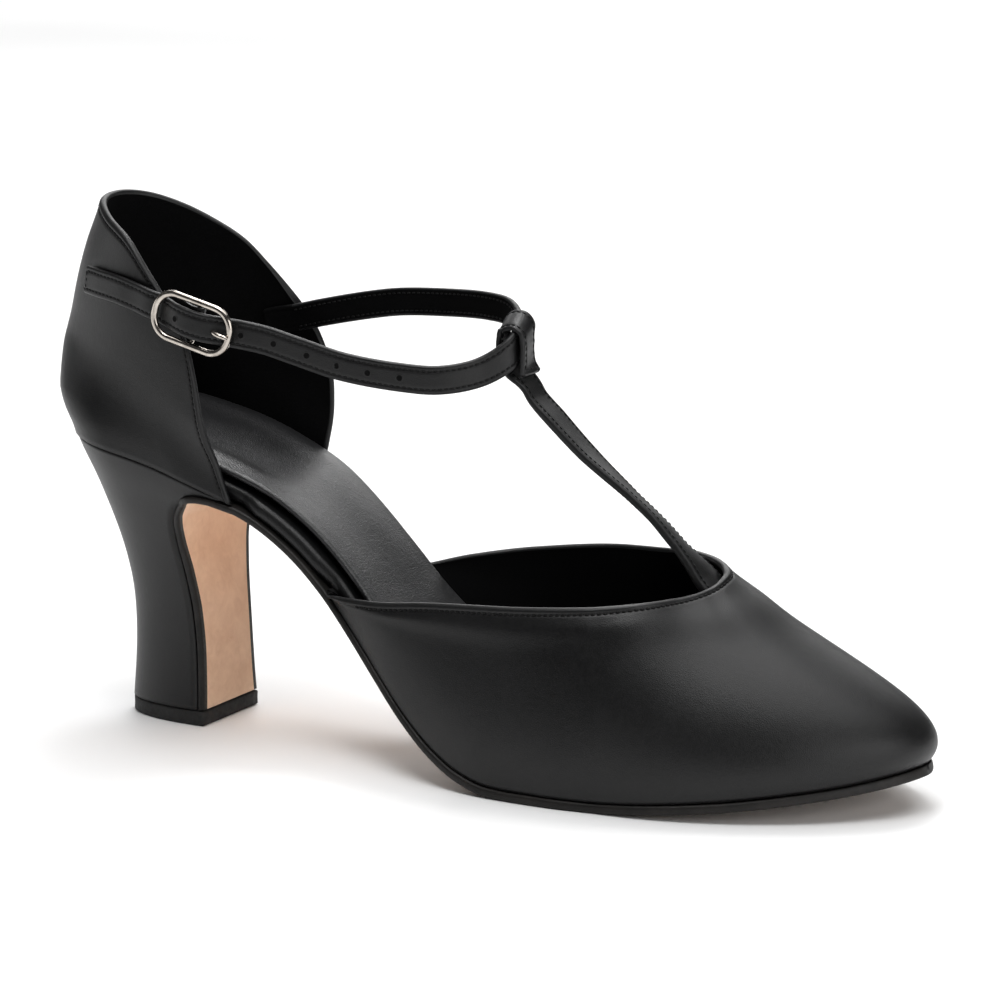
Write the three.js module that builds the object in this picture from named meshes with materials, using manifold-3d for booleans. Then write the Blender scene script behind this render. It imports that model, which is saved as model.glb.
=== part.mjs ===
// A right character shoe: a closed-toe court shoe with open sides, a T-strap and
// a buckled ankle strap, on a flared heel whose breast is covered by the outsole.
// Millimetres, +Z up, +X to the toe, +Y to the inner (medial) side.

import * as THREE from "three";
import { mergeVertices } from "three/addons/utils/BufferGeometryUtils.js";
import Module from "manifold-3d";

const wasm = await Module();
wasm.setup();

// Driving dimensions.
const shoeLength = 236;
const heelHeight = 76;
const heelWidth = 51;
const ballWidth = 80;
const vampHeight = 51;
const counterHeight = 55;
const upperWall = 1.7;
const forefootSole = 2.3;
const waistSole = 1.8;
const shankGap = 4;
const soleMargin = 0.5;
const boardThickness = 3.8;
const sockThickness = 1.8;
const sockInset = 1.3;
const sockCup = 1.2;
const tipThickness = 3.8;
const heelBaseWidth = 27;
const heelPitch = 45;
const strapWidth = 7;
const strapThickness = 1.6;
const instepWidth = 9.5;
const instepThickness = 1.8;
const loopWidth = 8.2;
const loopThickness = 1.3;
const loopSlack = 0.8;
const throatWidth = 11;
const throatCrown = 1.1;
const tabWidth = 8.8;
const tabThickness = 0.7;
const slotWidth = 2.4;
const buckleLength = 22.5;
const buckleHeight = 12.6;
const buckleCorner = 5;
const buckleAlong = 0.230;
const buckleUp = 0.518;
const buckleAngle = (14 * Math.PI) / 180;
const wireSize = 1.5;
const prongSize = 0.9;
const holeSize = 1.8;
const holeLength = 3;
const bowRoom = 0.2;
const clearance = 0.3;

// Colours.
const leatherBlack = 0x1b1b1c;
const leatherGrey = 0x2e2e30;
const flapTan = 0xc8a07c;
const rubberBlack = 0x151515;
const nickel = 0xb9b2a6;

// Small helpers.
const mix = (a, b, t) => a + (b - a) * t;

function clamp01(t) {
  return Math.min(1, Math.max(0, t));
}

function ease(t) {
  const c = clamp01(t);
  return c * c * (3 - 2 * c);
}

// A smooth curve without overshoot through rows of a table, from one column to another.
function curve(rows, from, to, fromSize = 1, toSize = 1) {
  const xs = rows.map((row) => row[from] * fromSize);
  const ys = rows.map((row) => row[to] * toSize);
  const last = xs.length - 1;
  const slopes = xs.slice(1).map((x, i) => (ys[i + 1] - ys[i]) / (x - xs[i]));
  const tangents = xs.map((x, i) => {
    if (i === 0) {
      return slopes[0];
    }
    if (i === last) {
      return slopes[last - 1];
    }
    const before = slopes[i - 1];
    const after = slopes[i];
    return before * after <= 0 ? 0 : (2 * before * after) / (before + after);
  });
  return (x) => {
    const inside = Math.min(xs[last], Math.max(xs[0], x));
    let i = 0;
    while (i < last - 1 && inside > xs[i + 1]) {
      i += 1;
    }
    const h = xs[i + 1] - xs[i];
    const t = (inside - xs[i]) / h;
    const a = (1 + 2 * t) * (1 - t) * (1 - t);
    const b = t * (1 - t) * (1 - t) * h;
    const c = t * t * (3 - 2 * t);
    const d = t * t * (t - 1) * h;
    return a * ys[i] + b * tangents[i] + c * ys[i + 1] + d * tangents[i + 1];
  };
}

function steps(count) {
  return Array.from({ length: count + 1 }, (unused, i) => i / count);
}

// Closed bodies.
function bodyFrom(points, faces) {
  const geometry = new THREE.BufferGeometry();
  geometry.setAttribute("position", new THREE.Float32BufferAttribute(points.flatMap((p) => [p.x, p.y, p.z]), 3));
  geometry.setIndex(faces);
  let volume = 0;
  for (let i = 0; i < faces.length; i += 3) {
    const [a, b, c] = [points[faces[i]], points[faces[i + 1]], points[faces[i + 2]]];
    volume += a.dot(new THREE.Vector3().crossVectors(b, c));
  }
  if (volume < 0) {
    for (let i = 0; i < faces.length; i += 3) {
      [faces[i + 1], faces[i + 2]] = [faces[i + 2], faces[i + 1]];
    }
    geometry.setIndex(faces);
  }
  geometry.computeVertexNormals();
  return geometry;
}

// Two skins of the same rows and columns, joined along their four borders.
function sheetBody(outer, inner) {
  const rows = outer.length;
  const columns = outer[0].length;
  const points = [...outer.flat(), ...inner.flat()];
  const at = (skin, i, j) => skin * rows * columns + i * columns + j;
  const faces = [];
  const quad = (a, b, c, d) => faces.push(a, b, c, a, c, d);
  for (let i = 0; i < rows - 1; i += 1) {
    for (let j = 0; j < columns - 1; j += 1) {
      quad(at(0, i, j), at(0, i + 1, j), at(0, i + 1, j + 1), at(0, i, j + 1));
      quad(at(1, i, j), at(1, i, j + 1), at(1, i + 1, j + 1), at(1, i + 1, j));
    }
  }
  for (let i = 0; i < rows - 1; i += 1) {
    quad(at(0, i, 0), at(1, i, 0), at(1, i + 1, 0), at(0, i + 1, 0));
    quad(at(0, i, columns - 1), at(0, i + 1, columns - 1), at(1, i + 1, columns - 1), at(1, i, columns - 1));
  }
  for (let j = 0; j < columns - 1; j += 1) {
    quad(at(0, 0, j), at(0, 0, j + 1), at(1, 0, j + 1), at(1, 0, j));
    quad(at(0, rows - 1, j), at(1, rows - 1, j), at(1, rows - 1, j + 1), at(0, rows - 1, j + 1));
  }
  return bodyFrom(points, faces);
}

// Rings joined in order, with both ends closed across mirrored pairs of points.
function loftBody(rings) {
  const count = rings[0].length;
  const points = rings.flat();
  const faces = [];
  for (let i = 0; i < rings.length - 1; i += 1) {
    for (let j = 0; j < count; j += 1) {
      const k = (j + 1) % count;
      faces.push(i * count + j, i * count + k, (i + 1) * count + k);
      faces.push(i * count + j, (i + 1) * count + k, (i + 1) * count + j);
    }
  }
  const cap = (start, flip) => {
    const push = (a, b, c) => (flip ? faces.push(a, c, b) : faces.push(a, b, c));
    for (let lo = 0, hi = count - 1; lo + 1 < hi; ) {
      push(start + lo, start + hi, start + lo + 1);
      lo += 1;
      if (lo + 1 < hi + 1 && lo < hi) {
        if (hi - 1 > lo) {
          push(start + lo, start + hi, start + hi - 1);
        }
        hi -= 1;
      }
    }
  };
  cap(0, false);
  cap((rings.length - 1) * count, true);
  return bodyFrom(points, faces);
}

// Rings joined in order and back to the first.
function hoopBody(rings) {
  const count = rings[0].length;
  const faces = [];
  for (let i = 0; i < rings.length; i += 1) {
    const next = (i + 1) % rings.length;
    for (let j = 0; j < count; j += 1) {
      const k = (j + 1) % count;
      faces.push(i * count + j, i * count + k, next * count + k);
      faces.push(i * count + j, next * count + k, next * count + j);
    }
  }
  return bodyFrom(rings.flat(), faces);
}

// Two bodies joined or cut.
function solidOf(geometry) {
  const bare = geometry.clone();
  bare.deleteAttribute("normal");
  bare.deleteAttribute("uv");
  const merged = mergeVertices(bare);
  const vertProperties = Float32Array.from(merged.attributes.position.array);
  const triVerts = Uint32Array.from(merged.index.array);
  return new wasm.Manifold(new wasm.Mesh({ numProp: 3, vertProperties, triVerts }));
}

function combine(first, second, how) {
  const mesh = solidOf(first)[how](solidOf(second)).getMesh();
  const geometry = new THREE.BufferGeometry();
  geometry.setAttribute("position", new THREE.Float32BufferAttribute(mesh.vertProperties, 3));
  geometry.setIndex(Array.from(mesh.triVerts));
  geometry.computeVertexNormals();
  return geometry;
}

// A skin given by a function of two shares, and a second one inside it by the wall.
function skinPair(surface, us, vs, wall) {
  const step = 1e-3;
  const normalAt = (u, v) => {
    const ua = Math.max(0, u - step);
    const ub = Math.min(1, u + step);
    const va = Math.max(0, v - step);
    const vb = Math.min(1, v + step);
    const du = surface(ub, v).sub(surface(ua, v));
    const dv = surface(u, vb).sub(surface(u, va));
    return du.cross(dv).normalize();
  };
  const outer = us.map((u) => vs.map((v) => surface(u, v)));
  const inner = us.map((u) => vs.map((v) => surface(u, v).addScaledVector(normalAt(u, v), -wall)));
  return { outer, inner };
}

// The last. Side profile of the bottom of the foot, from the seat over the arch to the toe spring.
const lastBottom = [
  { along: 0.000, rise: 0.984 },
  { along: 0.085, rise: 0.934 },
  { along: 0.169, rise: 0.877 },
  { along: 0.242, rise: 0.794 },
  { along: 0.280, rise: 0.745 },
  { along: 0.322, rise: 0.662 },
  { along: 0.369, rise: 0.536 },
  { along: 0.411, rise: 0.402 },
  { along: 0.453, rise: 0.273 },
  { along: 0.487, rise: 0.171 },
  { along: 0.521, rise: 0.088 },
  { along: 0.555, rise: 0.032 },
  { along: 0.589, rise: 0.004 },
  { along: 0.615, rise: 0.000 },
  { along: 0.700, rise: 0.000 },
  { along: 0.745, rise: 0.009 },
  { along: 0.790, rise: 0.022 },
  { along: 0.840, rise: 0.039 },
  { along: 0.890, rise: 0.061 },
  { along: 0.940, rise: 0.086 },
  { along: 1.000, rise: 0.124 },
];
const treadTop = forefootSole + clearance;
const riseAt = curve(lastBottom, "along", "rise", shoeLength, heelHeight - treadTop);
const bottomAt = (x) => treadTop + riseAt(x);

// Plan outline: half widths as shares of the heel width and of the ball width.
const planRows = [
  { along: 0.119, heel: 0.500, lateral: 0.000, medial: 0.000 },
  { along: 0.191, heel: 0.500, lateral: 0.002, medial: 0.004 },
  { along: 0.254, heel: 0.400, lateral: 0.045, medial: 0.050 },
  { along: 0.339, heel: 0.240, lateral: 0.140, medial: 0.078 },
  { along: 0.403, heel: 0.120, lateral: 0.252, medial: 0.130 },
  { along: 0.466, heel: 0.040, lateral: 0.375, medial: 0.218 },
  { along: 0.530, heel: 0.000, lateral: 0.458, medial: 0.318 },
  { along: 0.593, heel: 0.000, lateral: 0.492, medial: 0.394 },
  { along: 0.657, heel: 0.000, lateral: 0.500, medial: 0.443 },
  { along: 0.712, heel: 0.000, lateral: 0.486, medial: 0.466 },
];
const planHeel = curve(planRows, "along", "heel", shoeLength, heelWidth);
const planSide = {
  lateral: curve(planRows, "along", "lateral", shoeLength, ballWidth),
  medial: curve(planRows, "along", "medial", shoeLength, ballWidth),
};
const seatBack = 0.0331 * shoeLength;
const seatRound = planRows[0].along * shoeLength;
const seatFullness = 2.2;
const toeStart = planRows[planRows.length - 1].along * shoeLength;
const toeTip = 0.987 * shoeLength;
const toeCentre = 0.025 * ballWidth;
const toeShape = {
  lateral: { forward: 0.50, across: 0.42 },
  medial: { forward: 0.56, across: 0.46 },
};

// Half width of the plan outline at a place along the shoe, as a signed y.
function planY(x, side) {
  const sign = side === "lateral" ? -1 : 1;
  if (x <= toeStart) {
    const half = planHeel(x) + planSide[side](x);
    if (x >= seatRound) {
      return sign * half;
    }
    const back = clamp01((seatRound - x) / (seatRound - seatBack));
    return sign * half * Math.sqrt(1 - back ** seatFullness);
  }
  const shape = toeShape[side];
  const wide = sign * (planHeel(toeStart) + planSide[side](toeStart));
  const reach = toeTip - toeStart;
  const span = toeCentre - wide;
  let low = 0;
  let high = 1;
  const bez = (a, b, c, d, t) => a * (1 - t) ** 3 + 3 * b * t * (1 - t) ** 2 + 3 * c * t * t * (1 - t) + d * t ** 3;
  for (let k = 0; k < 40; k += 1) {
    const t = (low + high) / 2;
    const here = toeStart + reach * bez(0, shape.forward, 1, 1, t);
    if (here < x) {
      low = t;
    } else {
      high = t;
    }
  }
  return wide + span * bez(0, 0, 1 - shape.across, 1, (low + high) / 2);
}

// Places along the shoe, closer together where the outline turns.
function stations(from, to, count, closeAtStart, closeAtEnd) {
  return steps(count).map((t) => {
    const start = closeAtStart ? 1 - Math.cos((t * Math.PI) / 2) : t;
    const end = closeAtEnd ? Math.sin((t * Math.PI) / 2) : t;
    return mix(from, to, mix(start, end, t));
  });
}

// The plan outline drawn in by an inset all round, or let out by a negative one.
function insetPlan(inset) {
  const line = (side) => {
    const sign = side === "lateral" ? 1 : -1;
    const points = stations(seatBack, toeTip, 240, true, true).map((x) => [x, planY(x, side)]);
    return points.map((point, i) => {
      const [ax, ay] = points[Math.max(0, i - 1)];
      const [bx, by] = points[Math.min(points.length - 1, i + 1)];
      const run = Math.hypot(bx - ax, by - ay);
      return [point[0] - (sign * inset * (by - ay)) / run, point[1] + (sign * inset * (bx - ax)) / run];
    });
  };
  const lines = { lateral: line("lateral"), medial: line("medial") };
  return (x, side) => {
    const points = lines[side];
    let i = 1;
    while (i < points.length - 1 && points[i][0] < x) {
      i += 1;
    }
    const share = clamp01((x - points[i - 1][0]) / (points[i][0] - points[i - 1][0]));
    return mix(points[i - 1][1], points[i][1], share);
  };
}

// Point and upward normal of the last's bottom profile, in the middle plane.
function profileAt(x) {
  const step = 0.05;
  const slope = (bottomAt(x + step) - bottomAt(x - step)) / (2 * step);
  const size = Math.hypot(slope, 1);
  return { x, z: bottomAt(x), nx: -slope / size, nz: 1 / size };
}

// A strip that follows the bottom profile between two distances from it.
function profileStrip(xs, widthAt, low, high, cup, columns) {
  const skin = (offset) =>
    xs.map((x) => {
      const p = profileAt(x);
      return steps(columns).map((share) => {
        const y = mix(widthAt(x, "lateral"), widthAt(x, "medial"), share);
        const rise = offset(x) + cup * (2 * share - 1) ** 2;
        return new THREE.Vector3(p.x + p.nx * rise, y, p.z + p.nz * rise);
      });
    });
  return sheetBody(skin(high), skin(low));
}

// How far short of a round end a strip stops, so that its last row still has a width.
const roundEnd = 0.06;

const group = new THREE.Group();

function addPiece(name, geometry, color, roughness = 0.5, metalness = 0) {
  const material = new THREE.MeshStandardMaterial({ color, roughness, metalness });
  const mesh = new THREE.Mesh(geometry, material);
  mesh.name = name;
  group.add(mesh);
  return mesh;
}

// Heel block: D-shaped sections from the tip to the seat. Front and back are shares of the
// heel pitch, the half width is a share of the base width, and toSeat blends into the plan.
const heelRows = [
  { level: 0.000, back: 0.462, front: 1.000, half: 0.500, toSeat: 0.00 },
  { level: 0.100, back: 0.472, front: 0.994, half: 0.482, toSeat: 0.00 },
  { level: 0.250, back: 0.480, front: 0.984, half: 0.470, toSeat: 0.00 },
  { level: 0.400, back: 0.470, front: 0.966, half: 0.482, toSeat: 0.00 },
  { level: 0.550, back: 0.424, front: 0.938, half: 0.535, toSeat: 0.00 },
  { level: 0.700, back: 0.356, front: 0.913, half: 0.620, toSeat: 0.05 },
  { level: 0.800, back: 0.305, front: 0.930, half: 0.700, toSeat: 0.15 },
  { level: 0.880, back: 0.284, front: 0.985, half: 0.720, toSeat: 0.42 },
  { level: 0.930, back: 0.264, front: 1.045, half: 0.800, toSeat: 0.68 },
  { level: 0.965, back: 0.242, front: 1.130, half: 0.880, toSeat: 0.85 },
  { level: 1.000, back: 0.228, front: 1.290, half: 0.930, toSeat: 1.00 },
];
const heelBack = curve(heelRows, "level", "back", 1, heelPitch);
const heelFront = curve(heelRows, "level", "front", 1, heelPitch);
const heelHalf = curve(heelRows, "level", "half", 1, heelBaseWidth);
const heelSeatShare = curve(heelRows, "level", "toSeat");
const heelFullness = 2.3;
const heelSeatWidth = 0.97;
const heelFoot = tipThickness + clearance;

function heelPoint(level, angle, side, grow = 0, foot = heelFoot) {
  const front = heelFront(level) + grow;
  const back = heelBack(level);
  const across = Math.sin(angle) ** (2 / heelFullness);
  const x = front - (front - back) * Math.cos(angle) ** (2 / heelFullness);
  const sign = side === "lateral" ? -1 : 1;
  const y = mix(sign * heelHalf(level) * across, planY(x, side) * heelSeatWidth, heelSeatShare(level));
  return new THREE.Vector3(x, y, mix(foot, bottomAt(x) - clearance, level));
}

function heelRing(level, grow, foot) {
  const arc = steps(12).map((t) => (t * Math.PI) / 2);
  const lateral = arc.map((a) => heelPoint(level, a, "lateral", grow, foot)).reverse();
  const medial = arc.slice(1).map((a) => heelPoint(level, a, "medial", grow, foot));
  return [...lateral, ...medial];
}

const flapLevels = [0, 0.08, 0.25, 0.4, 0.55, 0.66, 0.74, 0.8, 0.84, 0.88, 0.905, 0.93, 0.948, 0.965, 0.985];
const heelLevels = [...flapLevels, 1];
addPiece("heel", loftBody(heelLevels.map((level) => heelRing(level, 0, heelFoot))), leatherBlack);

// Heel tip: rubber under the block and under the end of the flap.
const tipFront = clearance + waistSole;
const tipRing = (z) => heelRing(0, tipFront, 0).map((p) => new THREE.Vector3(p.x, p.y, z));
addPiece("heel_tip", loftBody([tipRing(0), tipRing(tipThickness)]), rubberBlack, 0.7);

// Outsole: one sheet from the toe over the arch, bent down the breast of the heel.
const soleThickness = curve(
  [
    { along: 0.0, thick: waistSole },
    { along: 0.45, thick: waistSole },
    { along: 0.62, thick: forefootSole },
    { along: 1.0, thick: forefootSole },
  ],
  "along",
  "thick",
  shoeLength,
);
const soleMarginAt = curve(
  [
    { along: 0.24, out: 0 },
    { along: 0.30, out: 0.5 },
    { along: 0.55, out: 1 },
    { along: 1.0, out: 1 },
  ],
  "along",
  "out",
  shoeLength,
  soleMargin,
);

function soleRows() {
  const rows = [];
  for (const level of flapLevels) {
    const x = heelFront(level);
    const z = mix(heelFoot, bottomAt(x) - clearance, level);
    const widths = ["lateral", "medial"].map((side) => heelPoint(level, Math.PI / 2, side).y);
    rows.push({ x, z, lateral: widths[0], medial: widths[1], thick: waistSole });
  }
  const shankStart = heelFront(1) + shankGap;
  const edge = insetPlan(-soleMargin);
  for (const x of stations(shankStart, toeTip + soleMargin - roundEnd, 34, false, true)) {
    const back = soleMargin - soleMarginAt(x);
    rows.push({
      x,
      z: bottomAt(x) - clearance,
      lateral: edge(x, "lateral") + back,
      medial: edge(x, "medial") - back,
      thick: soleThickness(x),
    });
  }
  return rows;
}

function soleBody() {
  const rows = soleRows();
  const upper = [];
  const under = [];
  rows.forEach((row, i) => {
    const before = rows[Math.max(0, i - 1)];
    const after = rows[Math.min(rows.length - 1, i + 1)];
    const run = Math.hypot(after.x - before.x, after.z - before.z);
    const nx = (after.z - before.z) / run;
    const nz = -(after.x - before.x) / run;
    const flap = i < flapLevels.length ? clearance : 0;
    const skin = (offset) =>
      steps(6).map((share) => {
        const y = mix(row.lateral, row.medial, share);
        return new THREE.Vector3(row.x + nx * offset, y, row.z + nz * offset);
      });
    upper.push(skin(flap));
    under.push(skin(flap + row.thick));
  });
  return sheetBody(upper, under);
}
addPiece("outsole", soleBody(), flapTan, 0.7);

// Insole board: stiff board wrapped in leather, full width where the waist is open.
const boardInset = upperWall + clearance;
const boardRows = [
  { along: 0.000, inset: 1.0 },
  { along: 0.150, inset: 1.1 },
  { along: 0.200, inset: 1.35 },
  { along: 0.262, inset: 1.35 },
  { along: 0.285, inset: 0.3 },
  { along: 0.350, inset: 0.3 },
  { along: 0.372, inset: 1.0 },
  { along: 1.000, inset: 1.0 },
];
const boardInsetAt = curve(boardRows, "along", "inset", shoeLength, boardInset);

const boardPlan = insetPlan(boardInset);
const insoleStations = [
  ...stations(seatBack + boardInset + roundEnd, toeTip - boardInset - roundEnd, 34, true, true),
  ...boardRows.slice(1, -1).map((row) => row.along * shoeLength),
].sort((a, b) => a - b);
addPiece(
  "insole_board",
  profileStrip(
    insoleStations,
    (x, side) => boardPlan(x, side) + (side === "lateral" ? -1 : 1) * (boardInset - boardInsetAt(x)),
    () => 0,
    () => boardThickness,
    0,
    4,
  ),
  leatherBlack,
);

// Insole sock: the padded leather that the foot stands on.
const sockLow = boardThickness + clearance;
const sockEdge = boardInset + sockInset;
const sockPlan = insetPlan(sockEdge);
const sockStations = stations(seatBack + sockEdge + roundEnd, toeTip - sockEdge - roundEnd, 34, true, true);
addPiece(
  "insole_sock",
  profileStrip(
    sockStations,
    sockPlan,
    () => sockLow,
    () => sockLow + sockThickness,
    sockCup,
    6,
  ),
  leatherGrey,
  0.45,
);

// Quarter: the counter and sides round the heel, open at the collar, at the front and underneath.
const quarterRows = [
  { level: 0.00, back: 0.142, lateralEdge: 0.2585, medialEdge: 0.2570, lateralHalf: 0.480, medialHalf: 0.490 },
  { level: 0.03, back: 0.130, lateralEdge: 0.2560, medialEdge: 0.2578, lateralHalf: 0.485, medialHalf: 0.495 },
  { level: 0.07, back: 0.104, lateralEdge: 0.2525, medialEdge: 0.2590, lateralHalf: 0.490, medialHalf: 0.500 },
  { level: 0.12, back: 0.071, lateralEdge: 0.2485, medialEdge: 0.2602, lateralHalf: 0.497, medialHalf: 0.506 },
  { level: 0.18, back: 0.044, lateralEdge: 0.2445, medialEdge: 0.2617, lateralHalf: 0.503, medialHalf: 0.512 },
  { level: 0.32, back: 0.033, lateralEdge: 0.2343, medialEdge: 0.2633, lateralHalf: 0.516, medialHalf: 0.520 },
  { level: 0.50, back: 0.075, lateralEdge: 0.2286, medialEdge: 0.2629, lateralHalf: 0.526, medialHalf: 0.522 },
  { level: 0.67, back: 0.117, lateralEdge: 0.2240, medialEdge: 0.2570, lateralHalf: 0.530, medialHalf: 0.515 },
  { level: 0.80, back: 0.160, lateralEdge: 0.2190, medialEdge: 0.2480, lateralHalf: 0.528, medialHalf: 0.505 },
  { level: 0.92, back: 0.214, lateralEdge: 0.2130, medialEdge: 0.2340, lateralHalf: 0.524, medialHalf: 0.490 },
  { level: 1.00, back: 0.250, lateralEdge: 0.2080, medialEdge: 0.2230, lateralHalf: 0.518, medialHalf: 0.480 },
];
const quarterBack = curve(quarterRows, "level", "back", 1, counterHeight);
const quarterEdge = {
  lateral: curve(quarterRows, "level", "lateralEdge", 1, shoeLength),
  medial: curve(quarterRows, "level", "medialEdge", 1, shoeLength),
};
const quarterHalf = {
  lateral: curve(quarterRows, "level", "lateralHalf", 1, heelWidth),
  medial: curve(quarterRows, "level", "medialHalf", 1, heelWidth),
};
const collarRows = [
  { along: 0.054, up: 1.000 },
  { along: 0.070, up: 0.976 },
  { along: 0.098, up: 0.922 },
  { along: 0.129, up: 0.858 },
  { along: 0.165, up: 0.702 },
  { along: 0.191, up: 0.570 },
  { along: 0.208, up: 0.470 },
];
const medialCollarRows = [
  { along: 0.054, up: 1.000 },
  { along: 0.070, up: 0.976 },
  { along: 0.098, up: 0.920 },
  { along: 0.129, up: 0.846 },
  { along: 0.162, up: 0.755 },
  { along: 0.187, up: 0.652 },
  { along: 0.205, up: 0.572 },
  { along: 0.223, up: 0.488 },
];
const collarAt = {
  lateral: curve(collarRows, "along", "up", shoeLength, counterHeight),
  medial: curve(medialCollarRows, "along", "up", shoeLength, counterHeight),
};
const quarterFullness = 2.05;
const quarterPlan = { hold: 0.07, share: 0.36 };

// The outer face by height share u and by share v from the lateral edge round to the medial edge.
function quarterSurface(u, v) {
  const turn = (2 * v - 1) * (Math.PI / 2);
  const side = turn < 0 ? "lateral" : "medial";
  const sign = turn < 0 ? -1 : 1;
  const level = (h) => {
    const edge = quarterEdge[side](h);
    return edge - (edge - quarterBack(h)) * Math.cos(turn) ** (2 / quarterFullness);
  };
  const x = level(u);
  const round = quarterHalf[side](u) * Math.sin(Math.abs(turn)) ** (2 / quarterFullness) * sign;
  const y = mix(planY(level(0), side), round, ease((u - quarterPlan.hold) / quarterPlan.share));
  const z = mix(bottomAt(x), heelHeight + collarAt[side](level(1)), u);
  return new THREE.Vector3(x, y, z);
}

function settle(skins, row) {
  for (const p of skins.inner[row]) {
    p.z = bottomAt(p.x);
  }
}

const quarterHeights = [0, 0.03, 0.07, 0.12, 0.2, 0.3, 0.4, 0.5, 0.6, 0.7, 0.8, 0.9, 1];
const quarterSkins = skinPair(quarterSurface, quarterHeights, steps(30), upperWall);
settle(quarterSkins, 0);
addPiece("quarter", sheetBody(quarterSkins.outer, quarterSkins.inner), leatherBlack);

// Vamp: ribs from the edge of the sole up to the topline, fanned round the toe. foot is the
// place along the sole's edge; top is the topline; the handles shape the rib between them.
const vampRows = [
  { foot: 0.000, x: 0.3775, y: -0.332, z: 0.800, out: 0.000, up: 0.02, topOut: 0.000, down: 0.02 },
  { foot: 0.050, x: 0.445, y: -0.381, z: 0.818, out: 0.012, up: 0.12, topOut: 0.012, down: 0.12 },
  { foot: 0.100, x: 0.508, y: -0.400, z: 0.853, out: 0.019, up: 0.20, topOut: 0.019, down: 0.20 },
  { foot: 0.180, x: 0.606, y: -0.412, z: 0.888, out: 0.031, up: 0.28, topOut: 0.038, down: 0.25 },
  { foot: 0.240, x: 0.680, y: -0.388, z: 0.920, out: 0.040, up: 0.28, topOut: 0.065, down: 0.22 },
  { foot: 0.300, x: 0.731, y: -0.300, z: 0.943, out: 0.050, up: 0.26, topOut: 0.110, down: 0.20 },
  { foot: 0.365, x: 0.748, y: -0.188, z: 0.940, out: 0.070, up: 0.26, topOut: 0.170, down: 0.21 },
  { foot: 0.430, x: 0.763, y: -0.088, z: 0.958, out: 0.100, up: 0.26, topOut: 0.225, down: 0.26 },
  { foot: 0.475, x: 0.768, y: -0.025, z: 0.982, out: 0.125, up: 0.26, topOut: 0.252, down: 0.30 },
  { foot: 0.510, x: 0.768, y: 0.015, z: 1.000, out: 0.130, up: 0.25, topOut: 0.257, down: 0.32 },
  { foot: 0.550, x: 0.762, y: 0.060, z: 1.018, out: 0.104, up: 0.22, topOut: 0.236, down: 0.34 },
  { foot: 0.605, x: 0.740, y: 0.130, z: 1.034, out: 0.075, up: 0.19, topOut: 0.190, down: 0.35 },
  { foot: 0.670, x: 0.711, y: 0.210, z: 1.024, out: 0.045, up: 0.20, topOut: 0.120, down: 0.33 },
  { foot: 0.730, x: 0.683, y: 0.290, z: 0.996, out: 0.040, up: 0.27, topOut: 0.075, down: 0.27 },
  { foot: 0.790, x: 0.655, y: 0.356, z: 0.970, out: 0.031, up: 0.29, topOut: 0.040, down: 0.26 },
  { foot: 0.850, x: 0.587, y: 0.381, z: 0.950, out: 0.025, up: 0.28, topOut: 0.019, down: 0.25 },
  { foot: 0.920, x: 0.500, y: 0.338, z: 0.905, out: 0.019, up: 0.20, topOut: 0.012, down: 0.20 },
  { foot: 0.965, x: 0.440, y: 0.276, z: 0.858, out: 0.012, up: 0.12, topOut: 0.006, down: 0.12 },
  { foot: 1.000, x: 0.3860, y: 0.222, z: 0.790, out: 0.000, up: 0.02, topOut: 0.000, down: 0.02 },
];
const vampRear = { lateral: 0.3755, medial: 0.384 };
const vampColumn = (name, size) => curve(vampRows, "foot", name, 1, size);
const vampTop = {
  x: vampColumn("x", shoeLength),
  y: vampColumn("y", ballWidth),
  z: vampColumn("z", vampHeight),
};
const vampOut = vampColumn("out", ballWidth);
const vampUp = vampColumn("up", vampHeight);
const vampTopOut = vampColumn("topOut", ballWidth);
const vampDown = vampColumn("down", vampHeight);

// The sole's edge from the lateral rear corner of the vamp round the toe, by length.
function featherLine() {
  const lateral = stations(vampRear.lateral * shoeLength, toeTip, 200, false, true);
  const medial = stations(vampRear.medial * shoeLength, toeTip, 200, false, true).reverse();
  const points = [
    ...lateral.map((x) => new THREE.Vector2(x, planY(x, "lateral"))),
    ...medial.slice(1).map((x) => new THREE.Vector2(x, planY(x, "medial"))),
  ];
  const lengths = [0];
  for (let i = 1; i < points.length; i += 1) {
    lengths.push(lengths[i - 1] + points[i].distanceTo(points[i - 1]));
  }
  return { points, lengths };
}
const feather = featherLine();

function featherAt(share) {
  const goal = clamp01(share) * feather.lengths[feather.lengths.length - 1];
  let i = 1;
  while (i < feather.lengths.length - 1 && feather.lengths[i] < goal) {
    i += 1;
  }
  const t = (goal - feather.lengths[i - 1]) / (feather.lengths[i] - feather.lengths[i - 1]);
  return new THREE.Vector2().lerpVectors(feather.points[i - 1], feather.points[i], t);
}

function featherNormal(share) {
  const reach = 0.012;
  const run = featherAt(share + reach).sub(featherAt(share - reach));
  return new THREE.Vector2(run.y, -run.x).normalize().negate();
}

// The outer face by share u from the sole to the topline and by share v along the sole's edge.
function vampSurface(u, v) {
  const foot = featherAt(v);
  const out = featherNormal(v).negate();
  const base = new THREE.Vector3(foot.x, foot.y, bottomAt(foot.x));
  const top = new THREE.Vector3(vampTop.x(v), vampTop.y(v), vampTop.z(v));
  const low = base.clone().add(new THREE.Vector3(out.x * vampOut(v), out.y * vampOut(v), vampUp(v)));
  const high = top.clone().add(new THREE.Vector3(out.x * vampTopOut(v), out.y * vampTopOut(v), -vampDown(v)));
  const w = [(1 - u) ** 3, 3 * u * (1 - u) ** 2, 3 * u * u * (1 - u), u ** 3];
  const point = new THREE.Vector3();
  [base, low, high, top].forEach((p, i) => point.addScaledVector(p, w[i]));
  return point;
}

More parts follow.
